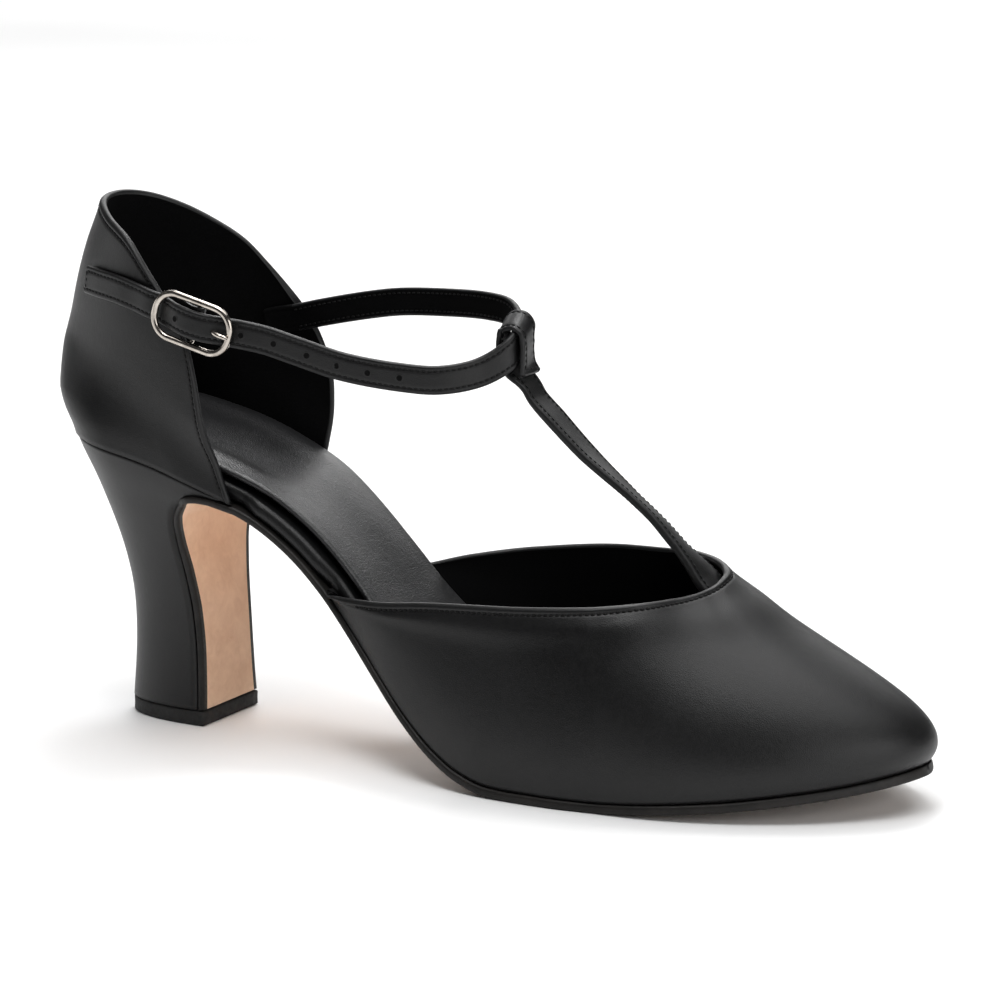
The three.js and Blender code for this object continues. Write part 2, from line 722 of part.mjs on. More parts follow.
const vampSkins = skinPair(vampSurface, steps(12), steps(44), -upperWall);
settle(vampSkins, 0);
addPiece("vamp", sheetBody(vampSkins.outer, vampSkins.inner), leatherBlack);

// Ankle strap: from its free end on the lateral quarter, through the buckle, round the front
// and back inside the medial quarter.
const buckleTilt = new THREE.Vector2(Math.cos(buckleAngle), Math.sin(buckleAngle));
const up = new THREE.Vector3(0, 0, 1);

// The quarter's outer face at a place along the shoe and a height; ahead of its edge, as at the edge.
function quarterWall(x, z, side) {
  const ends = side === "lateral" ? [0, 0.5] : [1, 0.5];
  let u = (z - bottomAt(x)) / counterHeight;
  let point = new THREE.Vector3();
  for (let k = 0; k < 12; k += 1) {
    const ahead = Math.min(x, quarterSurface(u, ends[0]).x);
    let [low, high] = ends;
    for (let j = 0; j < 30; j += 1) {
      const v = (low + high) / 2;
      if (quarterSurface(u, v).x > ahead) {
        low = v;
      } else {
        high = v;
      }
    }
    point = quarterSurface(u, (low + high) / 2);
    u += (z - point.z) / counterHeight;
  }
  return new THREE.Vector3(x, point.y, z);
}

// A place off the quarter's face, with the direction up along that face.
function offQuarter(x, z, side, distance) {
  const reach = 2;
  const along = quarterWall(x + reach, z, side).sub(quarterWall(x - reach, z, side)).normalize();
  const upward = quarterWall(x, z + reach, side).sub(quarterWall(x, z - reach, side)).normalize();
  const out = new THREE.Vector3().crossVectors(along, upward).normalize();
  if (side === "medial") {
    out.negate();
  }
  return { point: quarterWall(x, z, side).addScaledVector(out, distance), up: upward };
}

// Where the buckle sits: its middle on the quarter's face, towards the toe, up and out.
const buckleZ = heelHeight + buckleUp * counterHeight;
const buckleOrigin = quarterWall(buckleAlong * shoeLength, buckleZ, "lateral");

function buckleAt(toToe, out, upward) {
  const x = toToe * buckleTilt.x + upward * buckleTilt.y;
  const z = -toToe * buckleTilt.y + upward * buckleTilt.x;
  return buckleOrigin.clone().add(new THREE.Vector3(x, -out, z));
}

// Heights over the quarter's face: a tab leaf, the bar, and the strap on them.
const leafLift = clearance + tabThickness / 2;
const barLift = clearance + tabThickness + clearance + wireSize / 2;
const strapLift = clearance + strapThickness / 2;
const strapOverLeaf = strapLift + clearance + tabThickness;
const strapOverBar = barLift + wireSize / 2 + clearance + prongSize + clearance + strapThickness / 2;

const strapEndRows = [
  { along: 0.0771, up: 0.633 },
  { along: 0.1000, up: 0.628 },
  { along: 0.1292, up: 0.618 },
  { along: 0.1530, up: 0.598 },
];
const strapBuckleRows = [
  { toToe: -0.62, overLeaf: 0.8, overBar: 0.00, upward: 0.00 },
  { toToe: -0.47, overLeaf: 1.0, overBar: 0.00, upward: 0.00 },
  { toToe: -0.31, overLeaf: 1.0, overBar: 0.37, upward: 0.00 },
  { toToe: -0.16, overLeaf: 1.0, overBar: 0.84, upward: 0.00 },
  { toToe: 0.00, overLeaf: 1.0, overBar: 1.00, upward: 0.00 },
  { toToe: 0.16, overLeaf: 1.0, overBar: 0.84, upward: 0.01 },
  { toToe: 0.31, overLeaf: 1.0, overBar: 0.37, upward: 0.04 },
  { toToe: 0.47, overLeaf: 1.0, overBar: 0.00, upward: 0.09 },
  { toToe: 0.62, overLeaf: 0.8, overBar: 0.00, upward: 0.16 },
];
const strapSpanRows = [
  { along: 0.3093, across: -0.535, up: 0.462, lean: 0 },
  { along: 0.3432, across: -0.505, up: 0.421, lean: 0 },
  { along: 0.3850, across: -0.447, up: 0.366, lean: 0 },
  { along: 0.4449, across: -0.382, up: 0.331, lean: 0 },
  { along: 0.4818, across: -0.306, up: 0.322, lean: 2 },
  { along: 0.5140, across: -0.190, up: 0.352, lean: 5 },
  { along: 0.5372, across: -0.085, up: 0.423, lean: 4 },
  { along: 0.5375, across: 0.000, up: 0.453, lean: 4 },
  { along: 0.5330, across: 0.067, up: 0.489, lean: 4 },
  { along: 0.5205, across: 0.137, up: 0.535, lean: 5 },
  { along: 0.5021, across: 0.208, up: 0.563, lean: 4 },
  { along: 0.4691, across: 0.278, up: 0.569, lean: 2 },
  { along: 0.4025, across: 0.382, up: 0.549, lean: 0 },
  { along: 0.3517, across: 0.414, up: 0.529, lean: 0 },
  { along: 0.3093, across: 0.4255, up: 0.496, lean: 0 },
];
const strapFront = strapSpanRows.findIndex((row) => row.across === 0);
const strapInsideRows = [
  { along: 0.2580, up: 0.454 },
  { along: 0.2290, up: 0.424 },
  { along: 0.1990, up: 0.389 },
  { along: 0.1864, up: 0.373 },
];

function strapKnots() {
  const knots = strapEndRows.map((row) =>
    offQuarter(row.along * shoeLength, heelHeight + row.up * counterHeight, "lateral", strapLift + bowRoom),
  );
  for (const row of strapBuckleRows) {
    const out = mix(mix(strapLift, strapOverLeaf, row.overLeaf), strapOverBar, row.overBar);
    const flat = buckleAt(row.toToe * buckleLength, 0, row.upward * strapWidth);
    knots.push(offQuarter(flat.x, flat.z, "lateral", out));
  }
  const span = strapSpanRows.map(
    (row) => new THREE.Vector3(row.along * shoeLength, row.across * heelWidth, heelHeight + row.up * counterHeight),
  );
  span.forEach((point, i) => {
    const before = span[Math.max(0, i - 1)];
    const after = span[Math.min(span.length - 1, i + 1)];
    const lean = THREE.MathUtils.degToRad(strapSpanRows[i].lean);
    const out = new THREE.Vector3(after.y - before.y, before.x - after.x, 0).normalize();
    knots.push({ point, up: up.clone().multiplyScalar(Math.cos(lean)).addScaledVector(out, -Math.sin(lean)) });
  });
  const inside = -(upperWall + clearance + strapThickness / 2 + bowRoom);
  for (const row of strapInsideRows) {
    knots.push(offQuarter(row.along * shoeLength, heelHeight + row.up * counterHeight, "medial", inside));
  }
  return knots;
}

// Frames along a smooth line through knots: place, direction, up across the strap, and out.
function framesAlong(knots, count) {
  const line = new THREE.CatmullRomCurve3(knots.map((knot) => knot.point), false, "centripetal");
  return steps(count).map((share) => {
    const t = line.getUtoTmapping(share);
    const place = t * (knots.length - 1);
    const i = Math.min(knots.length - 2, Math.floor(place));
    const direction = line.getTangent(t);
    const across = knots[i].up.clone().lerp(knots[i + 1].up, place - i);
    across.addScaledVector(direction, -across.dot(direction)).normalize();
    const out = new THREE.Vector3().crossVectors(direction, across).normalize();
    return { point: line.getPoint(t), direction, up: across, out };
  });
}

// A flat strap along frames. lowAt and highAt give its edges, crownAt how far its middle stands out.
function strapBody(frames, thicknessAt, lowAt, highAt, columns = 1, crownAt = () => 0) {
  const skin = (face) =>
    frames.map((frame, i) => {
      const share = i / (frames.length - 1);
      const offset = (face * thicknessAt(share)) / 2;
      return steps(columns).map((t) => {
        const crown = crownAt(share) * (1 - (2 * t - 1) ** 2);
        return frame.point
          .clone()
          .addScaledVector(frame.up, mix(lowAt(share), highAt(share), t))
          .addScaledVector(frame.out, offset + crown);
      });
    });
  return sheetBody(skin(1), skin(-1));
}

const strapCuts = 96;
const ankleKnots = strapKnots();
const ankleFrames = framesAlong(ankleKnots, strapCuts);
const frontKnot = ankleKnots[strapEndRows.length + strapBuckleRows.length + strapFront];
const ankleStrap = strapBody(
  ankleFrames,
  () => strapThickness,
  () => -strapWidth / 2,
  () => strapWidth / 2,
);
const prongHole = new THREE.BoxGeometry(holeLength, 4 * strapThickness, holeSize);
prongHole.rotateY(buckleAngle);
const holeAt = buckleAt(0.25 * buckleLength, mix(strapOverLeaf, strapOverBar, 0.55), 0);
prongHole.translate(holeAt.x, holeAt.y, holeAt.z);
addPiece("ankle_strap", combine(ankleStrap, prongHole, "subtract"), leatherBlack);

// T-strap: from inside the throat up the instep, inside the ankle strap, over it and down outside.
const throatShare = 0.5;
const throatRows = [
  { down: 0.80, roll: 4 },
  { down: 0.86, roll: 4 },
  { down: 0.92, roll: 3 },
];
const instepRows = [
  { along: 0.028, sag: -0.0555, roll: 2 },
  { along: 0.093, sag: -0.0515, roll: -10 },
  { along: 0.168, sag: -0.051, roll: -20 },
  { along: 0.275, sag: -0.048, roll: -22 },
  { along: 0.3943, sag: -0.0565, roll: -20 },
  { along: 0.587, sag: -0.074, roll: -6 },
  { along: 0.756, sag: -0.0755, roll: 0 },
  { along: 0.8383, sag: -0.074, roll: 4 },
  { along: 0.8785, sag: -0.0648, roll: 9 },
  { along: 0.9085, sag: -0.0633, roll: 13 },
];
const loopRows = [
  { side: -0.60, up: -0.771 },
  { side: -1.25, up: -0.386 },
  { side: -1.57, up: -0.029 },
  { side: -1.65, up: 0.343 },
  { side: -1.52, up: 0.650 },
  { side: -0.84, up: 0.829 },
  { side: 0.02, up: 0.814 },
  { side: 0.64, up: 0.590 },
  { side: 0.82, up: 0.143 },
  { side: 0.84, up: -0.286 },
  { side: 0.92, up: -0.614 },
  { side: 1.08, up: -0.800 },
  { side: 1.31, up: -0.964 },
];
const loopTurn = { back: 0.14, roll: 26 };

function rolledBy(degrees, forward) {
  const roll = THREE.MathUtils.degToRad(degrees);
  return new THREE.Vector3(forward, Math.cos(roll), Math.sin(roll)).normalize();
}

function instepKnots() {
  const throat = new THREE.Vector3(vampTop.x(throatShare), vampTop.y(throatShare), vampTop.z(throatShare));
  const front = frontKnot.point;
  const sideways = new THREE.Vector3(0, 1, 0);
  const chord = front.clone().sub(throat);
  const over = new THREE.Vector3().crossVectors(chord, sideways).normalize().negate();
  const lift = upperWall + clearance + instepThickness / 2 + 2 * throatCrown;
  const step = 0.01;
  const knots = throatRows.map(({ down, roll }) => {
    const here = vampSurface(down, throatShare);
    const run = vampSurface(down + step, throatShare).sub(here);
    const inward = new THREE.Vector3(run.z, 0, -run.x).normalize();
    if (inward.z > 0) {
      inward.negate();
    }
    return { point: here.addScaledVector(inward, lift), up: rolledBy(roll, 0) };
  });
  for (const row of instepRows) {
    const point = throat.clone().addScaledVector(chord, row.along).addScaledVector(over, row.sag * chord.length());
    knots.push({ point, up: rolledBy(row.roll, 0) });
  }
  const rolled = rolledBy(loopTurn.roll, -loopTurn.back);
  const reach = strapThickness / 2 + clearance + loopThickness / 2 + loopSlack;
  for (const row of loopRows) {
    const point = front.clone().add(new THREE.Vector3(row.side * reach, 0, row.up * strapWidth));
    knots.push({ point, up: rolled });
  }
  return knots;
}

const instepWidths = curve(
  [
    { along: 0.00, throat: 1, loop: 0 },
    { along: 0.16, throat: 1, loop: 0 },
    { along: 0.26, throat: 0.6, loop: 0 },
    { along: 0.42, throat: 0.1, loop: 0 },
    { along: 0.60, throat: 0, loop: 0 },
    { along: 1.00, throat: 0, loop: 0 },
  ],
  "along",
  "throat",
);
const loopNarrow = (share) => ease((share - 0.62) / 0.1);
const instepHalf = (share) =>
  mix(mix(instepWidth, throatWidth, instepWidths(share)), loopWidth, loopNarrow(share)) / 2;
const instepFrames = framesAlong(instepKnots(), 64);
addPiece(
  "t_strap",
  strapBody(
    instepFrames,
    (share) => mix(instepThickness, loopThickness, loopNarrow(share)),
    (share) => -instepHalf(share),
    instepHalf,
    2,
    (share) => -throatCrown * instepWidths(share),
  ),
  leatherBlack,
);

// Buckle tab: a leaf on the quarter that wraps the bar and comes back, slotted for the prong.
const acrossBuckle = buckleAt(0, 0, 1).sub(buckleOrigin);
const alongBuckle = buckleAt(1, 0, 0).sub(buckleOrigin);
const wrapReach = wireSize / 2 + clearance + tabThickness / 2;
const leafRows = [
  { toToe: -0.510, low: -0.68, high: 0.32 },
  { toToe: -0.380, low: -0.68, high: 0.36 },
  { toToe: -0.250, low: -0.60, high: 0.42 },
  { toToe: -0.110, low: -0.49, high: 0.47 },
];
const wrapAngles = [-90, -45, 0, 45, 90];
const returnRows = [
  { toToe: -0.070, lift: 0.95 },
  { toToe: -0.160, lift: 0.30 },
  { toToe: -0.230, lift: 0.04 },
  { toToe: -0.310, lift: 0.00 },
];

function tabBody() {
  const knots = leafRows.map((row) => {
    const flat = buckleAt(row.toToe * buckleLength, 0, 0);
    return { ...offQuarter(flat.x, flat.z, "lateral", leafLift), low: row.low, high: row.high };
  });
  for (const angle of wrapAngles) {
    const turn = THREE.MathUtils.degToRad(angle);
    const point = buckleAt(wrapReach * Math.cos(turn), barLift + wrapReach * Math.sin(turn), 0);
    knots.push({ point, up: acrossBuckle, low: -0.47, high: 0.47 });
  }
  const lowest = leafLift + clearance + tabThickness;
  for (const row of returnRows) {
    const point = buckleAt(row.toToe * buckleLength, mix(lowest, barLift + wrapReach, row.lift), 0);
    knots.push({ point, up: acrossBuckle, low: -0.46, high: 0.46 });
  }
  const edge = (name) => (share) => {
    const place = share * (knots.length - 1);
    const i = Math.min(knots.length - 2, Math.floor(place));
    return tabWidth * mix(knots[i][name], knots[i + 1][name], place - i);
  };
  return strapBody(framesAlong(knots, 30), () => tabThickness, edge("low"), edge("high"));
}
const slot = new THREE.BoxGeometry(3 * wrapReach, 2.1 * wrapReach, slotWidth);
slot.rotateY(buckleAngle);
const slotAt = buckleAt(0.1 * wrapReach, barLift + 0.45 * wrapReach, 0);
slot.translate(slotAt.x, slotAt.y, slotAt.z);
addPiece("buckle_tab", combine(tabBody(), slot, "subtract"), leatherBlack);

// Buckle frame: a rounded wire loop over the strap, with a bar that drops under it.
const frameLift = strapOverLeaf + strapThickness / 2 + clearance + wireSize / 2 + 1.5 * bowRoom;
const barRows = [
  { upward: -0.500, drop: 0.00 },
  { upward: -0.488, drop: 0.45 },
  { upward: -0.445, drop: 0.88 },
  { upward: -0.380, drop: 1.00 },
  { upward: 0.380, drop: 1.00 },
  { upward: 0.445, drop: 0.88 },
  { upward: 0.488, drop: 0.45 },
  { upward: 0.500, drop: 0.00 },
];

// A round wire along points that lie in a plane square to the given direction.
function wireBody(points, size, square, closed) {
  const sides = 8;
  const last = points.length - 1;
  const rings = points.map((point, i) => {
    const before = points[closed ? (i + last) % points.length : Math.max(0, i - 1)];
    const after = points[closed ? (i + 1) % points.length : Math.min(last, i + 1)];
    const run = after.clone().sub(before).normalize();
    const beside = new THREE.Vector3().crossVectors(run, square).normalize();
    return steps(sides - 1).map((unused, k) => {
      const turn = ((k + 0.5) * 2 * Math.PI) / sides;
      return point
        .clone()
        .addScaledVector(square, (size / 2) * Math.sin(turn))
        .addScaledVector(beside, (size / 2) * Math.cos(turn));
    });
  });
  return closed ? hoopBody(rings) : loftBody(rings);
}

function framePoints() {
  const length = buckleLength - wireSize;
  const height = buckleHeight - wireSize;
  const points = [];
  for (const [sx, sy, from] of [[1, 1, 0], [-1, 1, 90], [-1, -1, 180], [1, -1, 270]]) {
    for (const share of steps(6)) {
      const turn = THREE.MathUtils.degToRad(from + 90 * share);
      const toToe = sx * (length / 2 - buckleCorner) + buckleCorner * Math.cos(turn);
      const upward = sy * (height / 2 - buckleCorner) + buckleCorner * Math.sin(turn);
      points.push(buckleAt(toToe, frameLift, upward));
    }
  }
  return points;
}
const barPoints = barRows.map((row) =>
  buckleAt(0, mix(frameLift, barLift, row.drop), row.upward * (buckleHeight - wireSize)),
);
const outBuckle = new THREE.Vector3(0, -1, 0);
addPiece(
  "buckle_frame",
  combine(wireBody(framePoints(), wireSize, outBuckle, true), wireBody(barPoints, wireSize, alongBuckle, false), "add"),
  nickel,
  0.25,
  1,
);

// Prong: hooked over the bar, up through the strap's hole, its tip on the frame.
const tipLift = frameLift + wireSize / 2 + clearance + prongSize / 2;
const hookReach = wireSize / 2 + clearance + prongSize / 2;
const hookAngles = [180, 150, 120, 90, 60, 32];
const prongRows = [
  { toToe: 0.078, rise: 0.13 },
  { toToe: 0.120, rise: 0.07 },
  { toToe: 0.169, rise: 0.12 },
  { toToe: 0.213, rise: 0.29 },
  { toToe: 0.253, rise: 0.54 },
  { toToe: 0.302, rise: 0.86 },
  { toToe: 0.364, rise: 1.00 },
  { toToe: 0.430, rise: 1.00 },
  { toToe: 0.487, rise: 1.00 },
];
const prongPoints = [
  ...hookAngles.map((angle) => {
    const turn = THREE.MathUtils.degToRad(angle);
    return buckleAt(hookReach * Math.cos(turn), barLift + hookReach * Math.sin(turn), 0);
  }),
  ...prongRows.map((row) => buckleAt(row.toToe * buckleLength, mix(barLift, tipLift, row.rise), 0)),
];
addPiece("buckle_prong", wireBody(prongPoints, prongSize, acrossBuckle, false), nickel, 0.25, 1);

group.position.set(-(heelFront(0) + tipFront + heelBack(0)) / 2, 0, 0);

export default group;
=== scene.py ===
"""Looks of a right T-strap character shoe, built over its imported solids."""
import math

import bmesh
import bpy
import numpy as np
from mathutils import Matrix, Vector


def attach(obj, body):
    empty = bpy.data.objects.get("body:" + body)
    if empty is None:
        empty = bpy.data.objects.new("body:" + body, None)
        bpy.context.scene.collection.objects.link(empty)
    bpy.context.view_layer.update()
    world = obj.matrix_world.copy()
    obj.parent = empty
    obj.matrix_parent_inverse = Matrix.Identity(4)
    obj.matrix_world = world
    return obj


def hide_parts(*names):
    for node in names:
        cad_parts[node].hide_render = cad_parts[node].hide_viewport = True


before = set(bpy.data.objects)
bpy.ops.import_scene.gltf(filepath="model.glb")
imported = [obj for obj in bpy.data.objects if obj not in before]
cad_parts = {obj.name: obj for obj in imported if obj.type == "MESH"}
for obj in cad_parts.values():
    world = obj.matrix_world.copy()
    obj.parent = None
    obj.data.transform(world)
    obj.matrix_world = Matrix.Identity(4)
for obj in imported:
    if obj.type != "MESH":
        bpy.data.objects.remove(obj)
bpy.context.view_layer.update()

# Named sizes in millimetres, the same as in the part's source.
SHOE_LENGTH = 236
HEEL_HEIGHT = 76
HEEL_WIDTH = 51
BALL_WIDTH = 80
VAMP_HEIGHT = 51
COUNTER_HEIGHT = 55
UPPER_WALL = 1.7
FOREFOOT_SOLE = 2.3
WAIST_SOLE = 1.8
SOLE_MARGIN = 0.5
BOARD_THICKNESS = 3.8
SOCK_THICKNESS = 1.8
SOCK_INSET = 1.3
SOCK_CUP = 1.2
TIP_THICKNESS = 3.8
HEEL_BASE_WIDTH = 27
HEEL_PITCH = 45
STRAP_WIDTH = 7
STRAP_THICKNESS = 1.6
INSTEP_WIDTH = 9.5
INSTEP_THICKNESS = 1.8
LOOP_WIDTH = 8.2
LOOP_THICKNESS = 1.3
LOOP_SLACK = 0.8
THROAT_WIDTH = 11
THROAT_CROWN = 1.1
TAB_THICKNESS = 0.7
BUCKLE_LENGTH = 22.5
BUCKLE_HEIGHT = 12.6
BUCKLE_CORNER = 5
BUCKLE_ALONG = 0.230
BUCKLE_UP = 0.518
BUCKLE_ANGLE = math.radians(14)
WIRE = 1.5
PRONG = 0.9
BOW_ROOM = 0.2
CLEARANCE = 0.3


# Small helpers.
def table(names, rows):
    """Rows of numbers under named columns."""
    return {name: np.array([row[i] for row in rows], float) for i, name in enumerate(names.split())}


def mix(a, b, t):
    return a + (b - a) * t


def ease(t):
    c = np.clip(t, 0.0, 1.0)
    return c * c * (3 - 2 * c)


def unit(v):
    return v / np.maximum(np.linalg.norm(v, axis=-1, keepdims=True), 1e-12)


def headings(points):
    """The direction of a line at each of its points."""
    padded = np.concatenate([points[:1], points, points[-1:]])
    return unit(padded[2:] - padded[:-2])


def travelled(points):
    """The length of a line up to each of its points."""
    return np.concatenate([[0], np.cumsum(np.linalg.norm(np.diff(points, axis=0), axis=1))])


def follow(points, lengths, at):
    """Places on a line at given lengths."""
    return np.stack([np.interp(at, lengths, points[:, k]) for k in range(points.shape[1])], -1)


def spread(first, last, count):
    """Places across a strip: the given ones near both borders, and even ones between them."""
    inside = np.linspace(0, 1, count)[None, 1:-1]
    return np.concatenate([first, mix(first[:, -1:], last[:, :1], inside), last], 1)


def curve(rows, along, to, length=1.0, size=1.0):
    """A smooth curve without overshoot through two columns of a table."""
    xs = rows[along] * length
    ys = rows[to] * size
    slopes = np.diff(ys) / np.diff(xs)
    tangents = np.empty_like(xs)
    tangents[0] = slopes[0]
    tangents[-1] = slopes[-1]
    before, after = slopes[:-1], slopes[1:]
    total = np.where(before + after == 0, 1.0, before + after)
    tangents[1:-1] = np.where(before * after <= 0, 0.0, 2 * before * after / total)

    def at(x):
        x = np.clip(np.asarray(x, float), xs[0], xs[-1])
        i = np.clip(np.searchsorted(xs, x, side="left") - 1, 0, len(xs) - 2)
        h = xs[i + 1] - xs[i]
        t = (x - xs[i]) / h
        a = (1 + 2 * t) * (1 - t) ** 2
        b = t * (1 - t) ** 2 * h
        c = t * t * (3 - 2 * t)
        d = t * t * (t - 1) * h
        return a * ys[i] + b * tangents[i] + c * ys[i + 1] + d * tangents[i + 1]

    return at


def stations(start, end, count, both=True):
    """Places along the shoe that lie closer near the end, or near both ends."""
    t = np.linspace(0, 1, count + 1)
    a = 1 - np.cos(t * math.pi / 2) if both else t
    return mix(start, end, mix(a, np.sin(t * math.pi / 2), t))


# The last, as in the part's source.
LAST_BOTTOM = table("along rise", [
    (0, 0.984), (0.085, 0.934), (0.169, 0.877), (0.242, 0.794), (0.28, 0.745), (0.322, 0.662), (0.369, 0.536),
    (0.411, 0.402), (0.453, 0.273), (0.487, 0.171), (0.521, 0.088), (0.555, 0.032), (0.589, 0.004),
    (0.615, 0), (0.7, 0), (0.745, 0.009), (0.79, 0.022), (0.84, 0.039), (0.89, 0.061), (0.94, 0.086),
    (1, 0.124),
])
TREAD_TOP = FOREFOOT_SOLE + CLEARANCE
rise_at = curve(LAST_BOTTOM, "along", "rise", SHOE_LENGTH, HEEL_HEIGHT - TREAD_TOP)


def bottom_at(x):
    return TREAD_TOP + rise_at(x)


PLAN = table("along heel lateral medial", [
    (0.119, 0.5, 0, 0), (0.191, 0.5, 0.002, 0.004), (0.254, 0.4, 0.045, 0.05), (0.339, 0.24, 0.14, 0.078),
    (0.403, 0.12, 0.252, 0.13), (0.466, 0.04, 0.375, 0.218), (0.53, 0, 0.458, 0.318),
    (0.593, 0, 0.492, 0.394), (0.657, 0, 0.5, 0.443), (0.712, 0, 0.486, 0.466),
])
plan_heel = curve(PLAN, "along", "heel", SHOE_LENGTH, HEEL_WIDTH)
plan_side = {
    -1: curve(PLAN, "along", "lateral", SHOE_LENGTH, BALL_WIDTH),
    1: curve(PLAN, "along", "medial", SHOE_LENGTH, BALL_WIDTH),
}
SEAT_BACK = 0.0331 * SHOE_LENGTH
SEAT_ROUND = PLAN["along"][0] * SHOE_LENGTH
TOE_START = PLAN["along"][-1] * SHOE_LENGTH
TOE_TIP = 0.987 * SHOE_LENGTH
TOE_CENTRE = 0.025 * BALL_WIDTH
TOE_SHAPE = {-1: (0.50, 0.42), 1: (0.56, 0.46)}


def plan_y(x, sign):
    """The plan outline at places along the shoe; sign is -1 for the outer side and 1 for the inner."""
    x = np.asarray(x, float)
    half = plan_heel(x) + plan_side[sign](x)
    back = np.clip((SEAT_ROUND - x) / (SEAT_ROUND - SEAT_BACK), 0, 1)
    rear = sign * half * np.sqrt(np.maximum(0, 1 - back ** 2.2))
    forward, across = TOE_SHAPE[sign]
    wide = sign * (plan_heel(TOE_START) + plan_side[sign](TOE_START))
    low = np.zeros(x.shape)
    high = np.ones(x.shape)
    for _ in range(40):
        t = (low + high) / 2
        share = 3 * forward * t * (1 - t) ** 2 + 3 * t * t * (1 - t) + t ** 3
        ahead = TOE_START + (TOE_TIP - TOE_START) * share < x
        low = np.where(ahead, t, low)
        high = np.where(ahead, high, t)
    t = (low + high) / 2
    toe = wide + (TOE_CENTRE - wide) * (3 * (1 - across) * t * t * (1 - t) + t ** 3)
    return np.where(x <= TOE_START, rear, toe)


def inset_plan(inset):
    """The plan outline drawn in by an inset all round, or let out by a negative one."""
    lines = {}
    for sign in (-1, 1):
        xs = stations(SEAT_BACK, TOE_TIP, 240)
        points = np.stack([xs, plan_y(xs, sign)], -1)
        run = headings(points)
        lines[sign] = points + inset * sign * np.stack([run[:, 1], -run[:, 0]], -1)

    def at(x, sign):
        px, py = lines[sign].T
        reached = np.maximum.accumulate(px)
        i = np.clip(np.searchsorted(reached, x, side="left"), 1, len(px) - 1)
        share = np.clip((x - px[i - 1]) / (px[i] - px[i - 1]), 0, 1)
        return mix(py[i - 1], py[i], share)

    return at


# Heel, as in the part's source.
HEEL = table("level back front half toSeat", [
    (0, 0.462, 1, 0.5, 0), (0.1, 0.472, 0.994, 0.482, 0), (0.25, 0.48, 0.984, 0.47, 0),
    (0.4, 0.47, 0.966, 0.482, 0), (0.55, 0.424, 0.938, 0.535, 0), (0.7, 0.356, 0.913, 0.62, 0.05),
    (0.8, 0.305, 0.93, 0.7, 0.15), (0.88, 0.284, 0.985, 0.72, 0.42), (0.93, 0.264, 1.045, 0.8, 0.68),
    (0.965, 0.242, 1.13, 0.88, 0.85), (1, 0.228, 1.29, 0.93, 1),
])
heel_back = curve(HEEL, "level", "back", 1, HEEL_PITCH)
heel_front = curve(HEEL, "level", "front", 1, HEEL_PITCH)
heel_half = curve(HEEL, "level", "half", 1, HEEL_BASE_WIDTH)
heel_seat = curve(HEEL, "level", "toSeat")
HEEL_ROUND = 2 / 2.3
SEAT_SHARE = 0.97
HEEL_FOOT = TIP_THICKNESS + CLEARANCE
TIP_FRONT = CLEARANCE + WAIST_SOLE
OFFSET_X = -(heel_front(0) + TIP_FRONT + heel_back(0)) / 2


def heel_point(level, angle, sign, grow=0.0, foot=HEEL_FOOT):
    """The heel's face at a level and an angle from its back to the corner of its breast."""
    level, angle = np.broadcast_arrays(np.asarray(level, float), np.asarray(angle, float))
    front = heel_front(level) + grow
    across = np.clip(np.sin(angle), 0, 1) ** HEEL_ROUND
    x = front - (front - heel_back(level)) * np.clip(np.cos(angle), 0, 1) ** HEEL_ROUND
    y = mix(sign * heel_half(level) * across, plan_y(x, sign) * SEAT_SHARE, heel_seat(level))
    return np.stack([x, y, mix(foot, bottom_at(x) - CLEARANCE, level)], -1)


# Quarter and vamp, as in the part's source.
QUARTER_ROUND = 2 / 2.05
QUARTER = table("level back lateralEdge medialEdge lateralHalf medialHalf", [
    (0, 0.142, 0.2585, 0.257, 0.48, 0.49), (0.03, 0.13, 0.256, 0.2578, 0.485, 0.495),
    (0.07, 0.104, 0.2525, 0.259, 0.49, 0.5), (0.12, 0.071, 0.2485, 0.2602, 0.497, 0.506),
    (0.18, 0.044, 0.2445, 0.2617, 0.503, 0.512), (0.32, 0.033, 0.2343, 0.2633, 0.516, 0.52),
    (0.5, 0.075, 0.2286, 0.2629, 0.526, 0.522), (0.67, 0.117, 0.224, 0.257, 0.53, 0.515),
    (0.8, 0.16, 0.219, 0.248, 0.528, 0.505), (0.92, 0.214, 0.213, 0.234, 0.524, 0.49),
    (1, 0.25, 0.208, 0.223, 0.518, 0.48),
])
quarter_back = curve(QUARTER, "level", "back", 1, COUNTER_HEIGHT)
SIDES = {-1: "lateral", 1: "medial"}
quarter_edge = {sign: curve(QUARTER, "level", side + "Edge", 1, SHOE_LENGTH) for sign, side in SIDES.items()}
quarter_half = {sign: curve(QUARTER, "level", side + "Half", 1, HEEL_WIDTH) for sign, side in SIDES.items()}
COLLAR = table("along up", [
    (0.054, 1), (0.07, 0.976), (0.098, 0.922), (0.129, 0.858), (0.165, 0.702), (0.191, 0.57), (0.208, 0.47),
])
MEDIAL_COLLAR = table("along up", [
    (0.054, 1), (0.07, 0.976), (0.098, 0.92), (0.129, 0.846), (0.162, 0.755), (0.187, 0.652), (0.205, 0.572),
    (0.223, 0.488),
])
collar_at = {
    -1: curve(COLLAR, "along", "up", SHOE_LENGTH, COUNTER_HEIGHT),
    1: curve(MEDIAL_COLLAR, "along", "up", SHOE_LENGTH, COUNTER_HEIGHT),
}


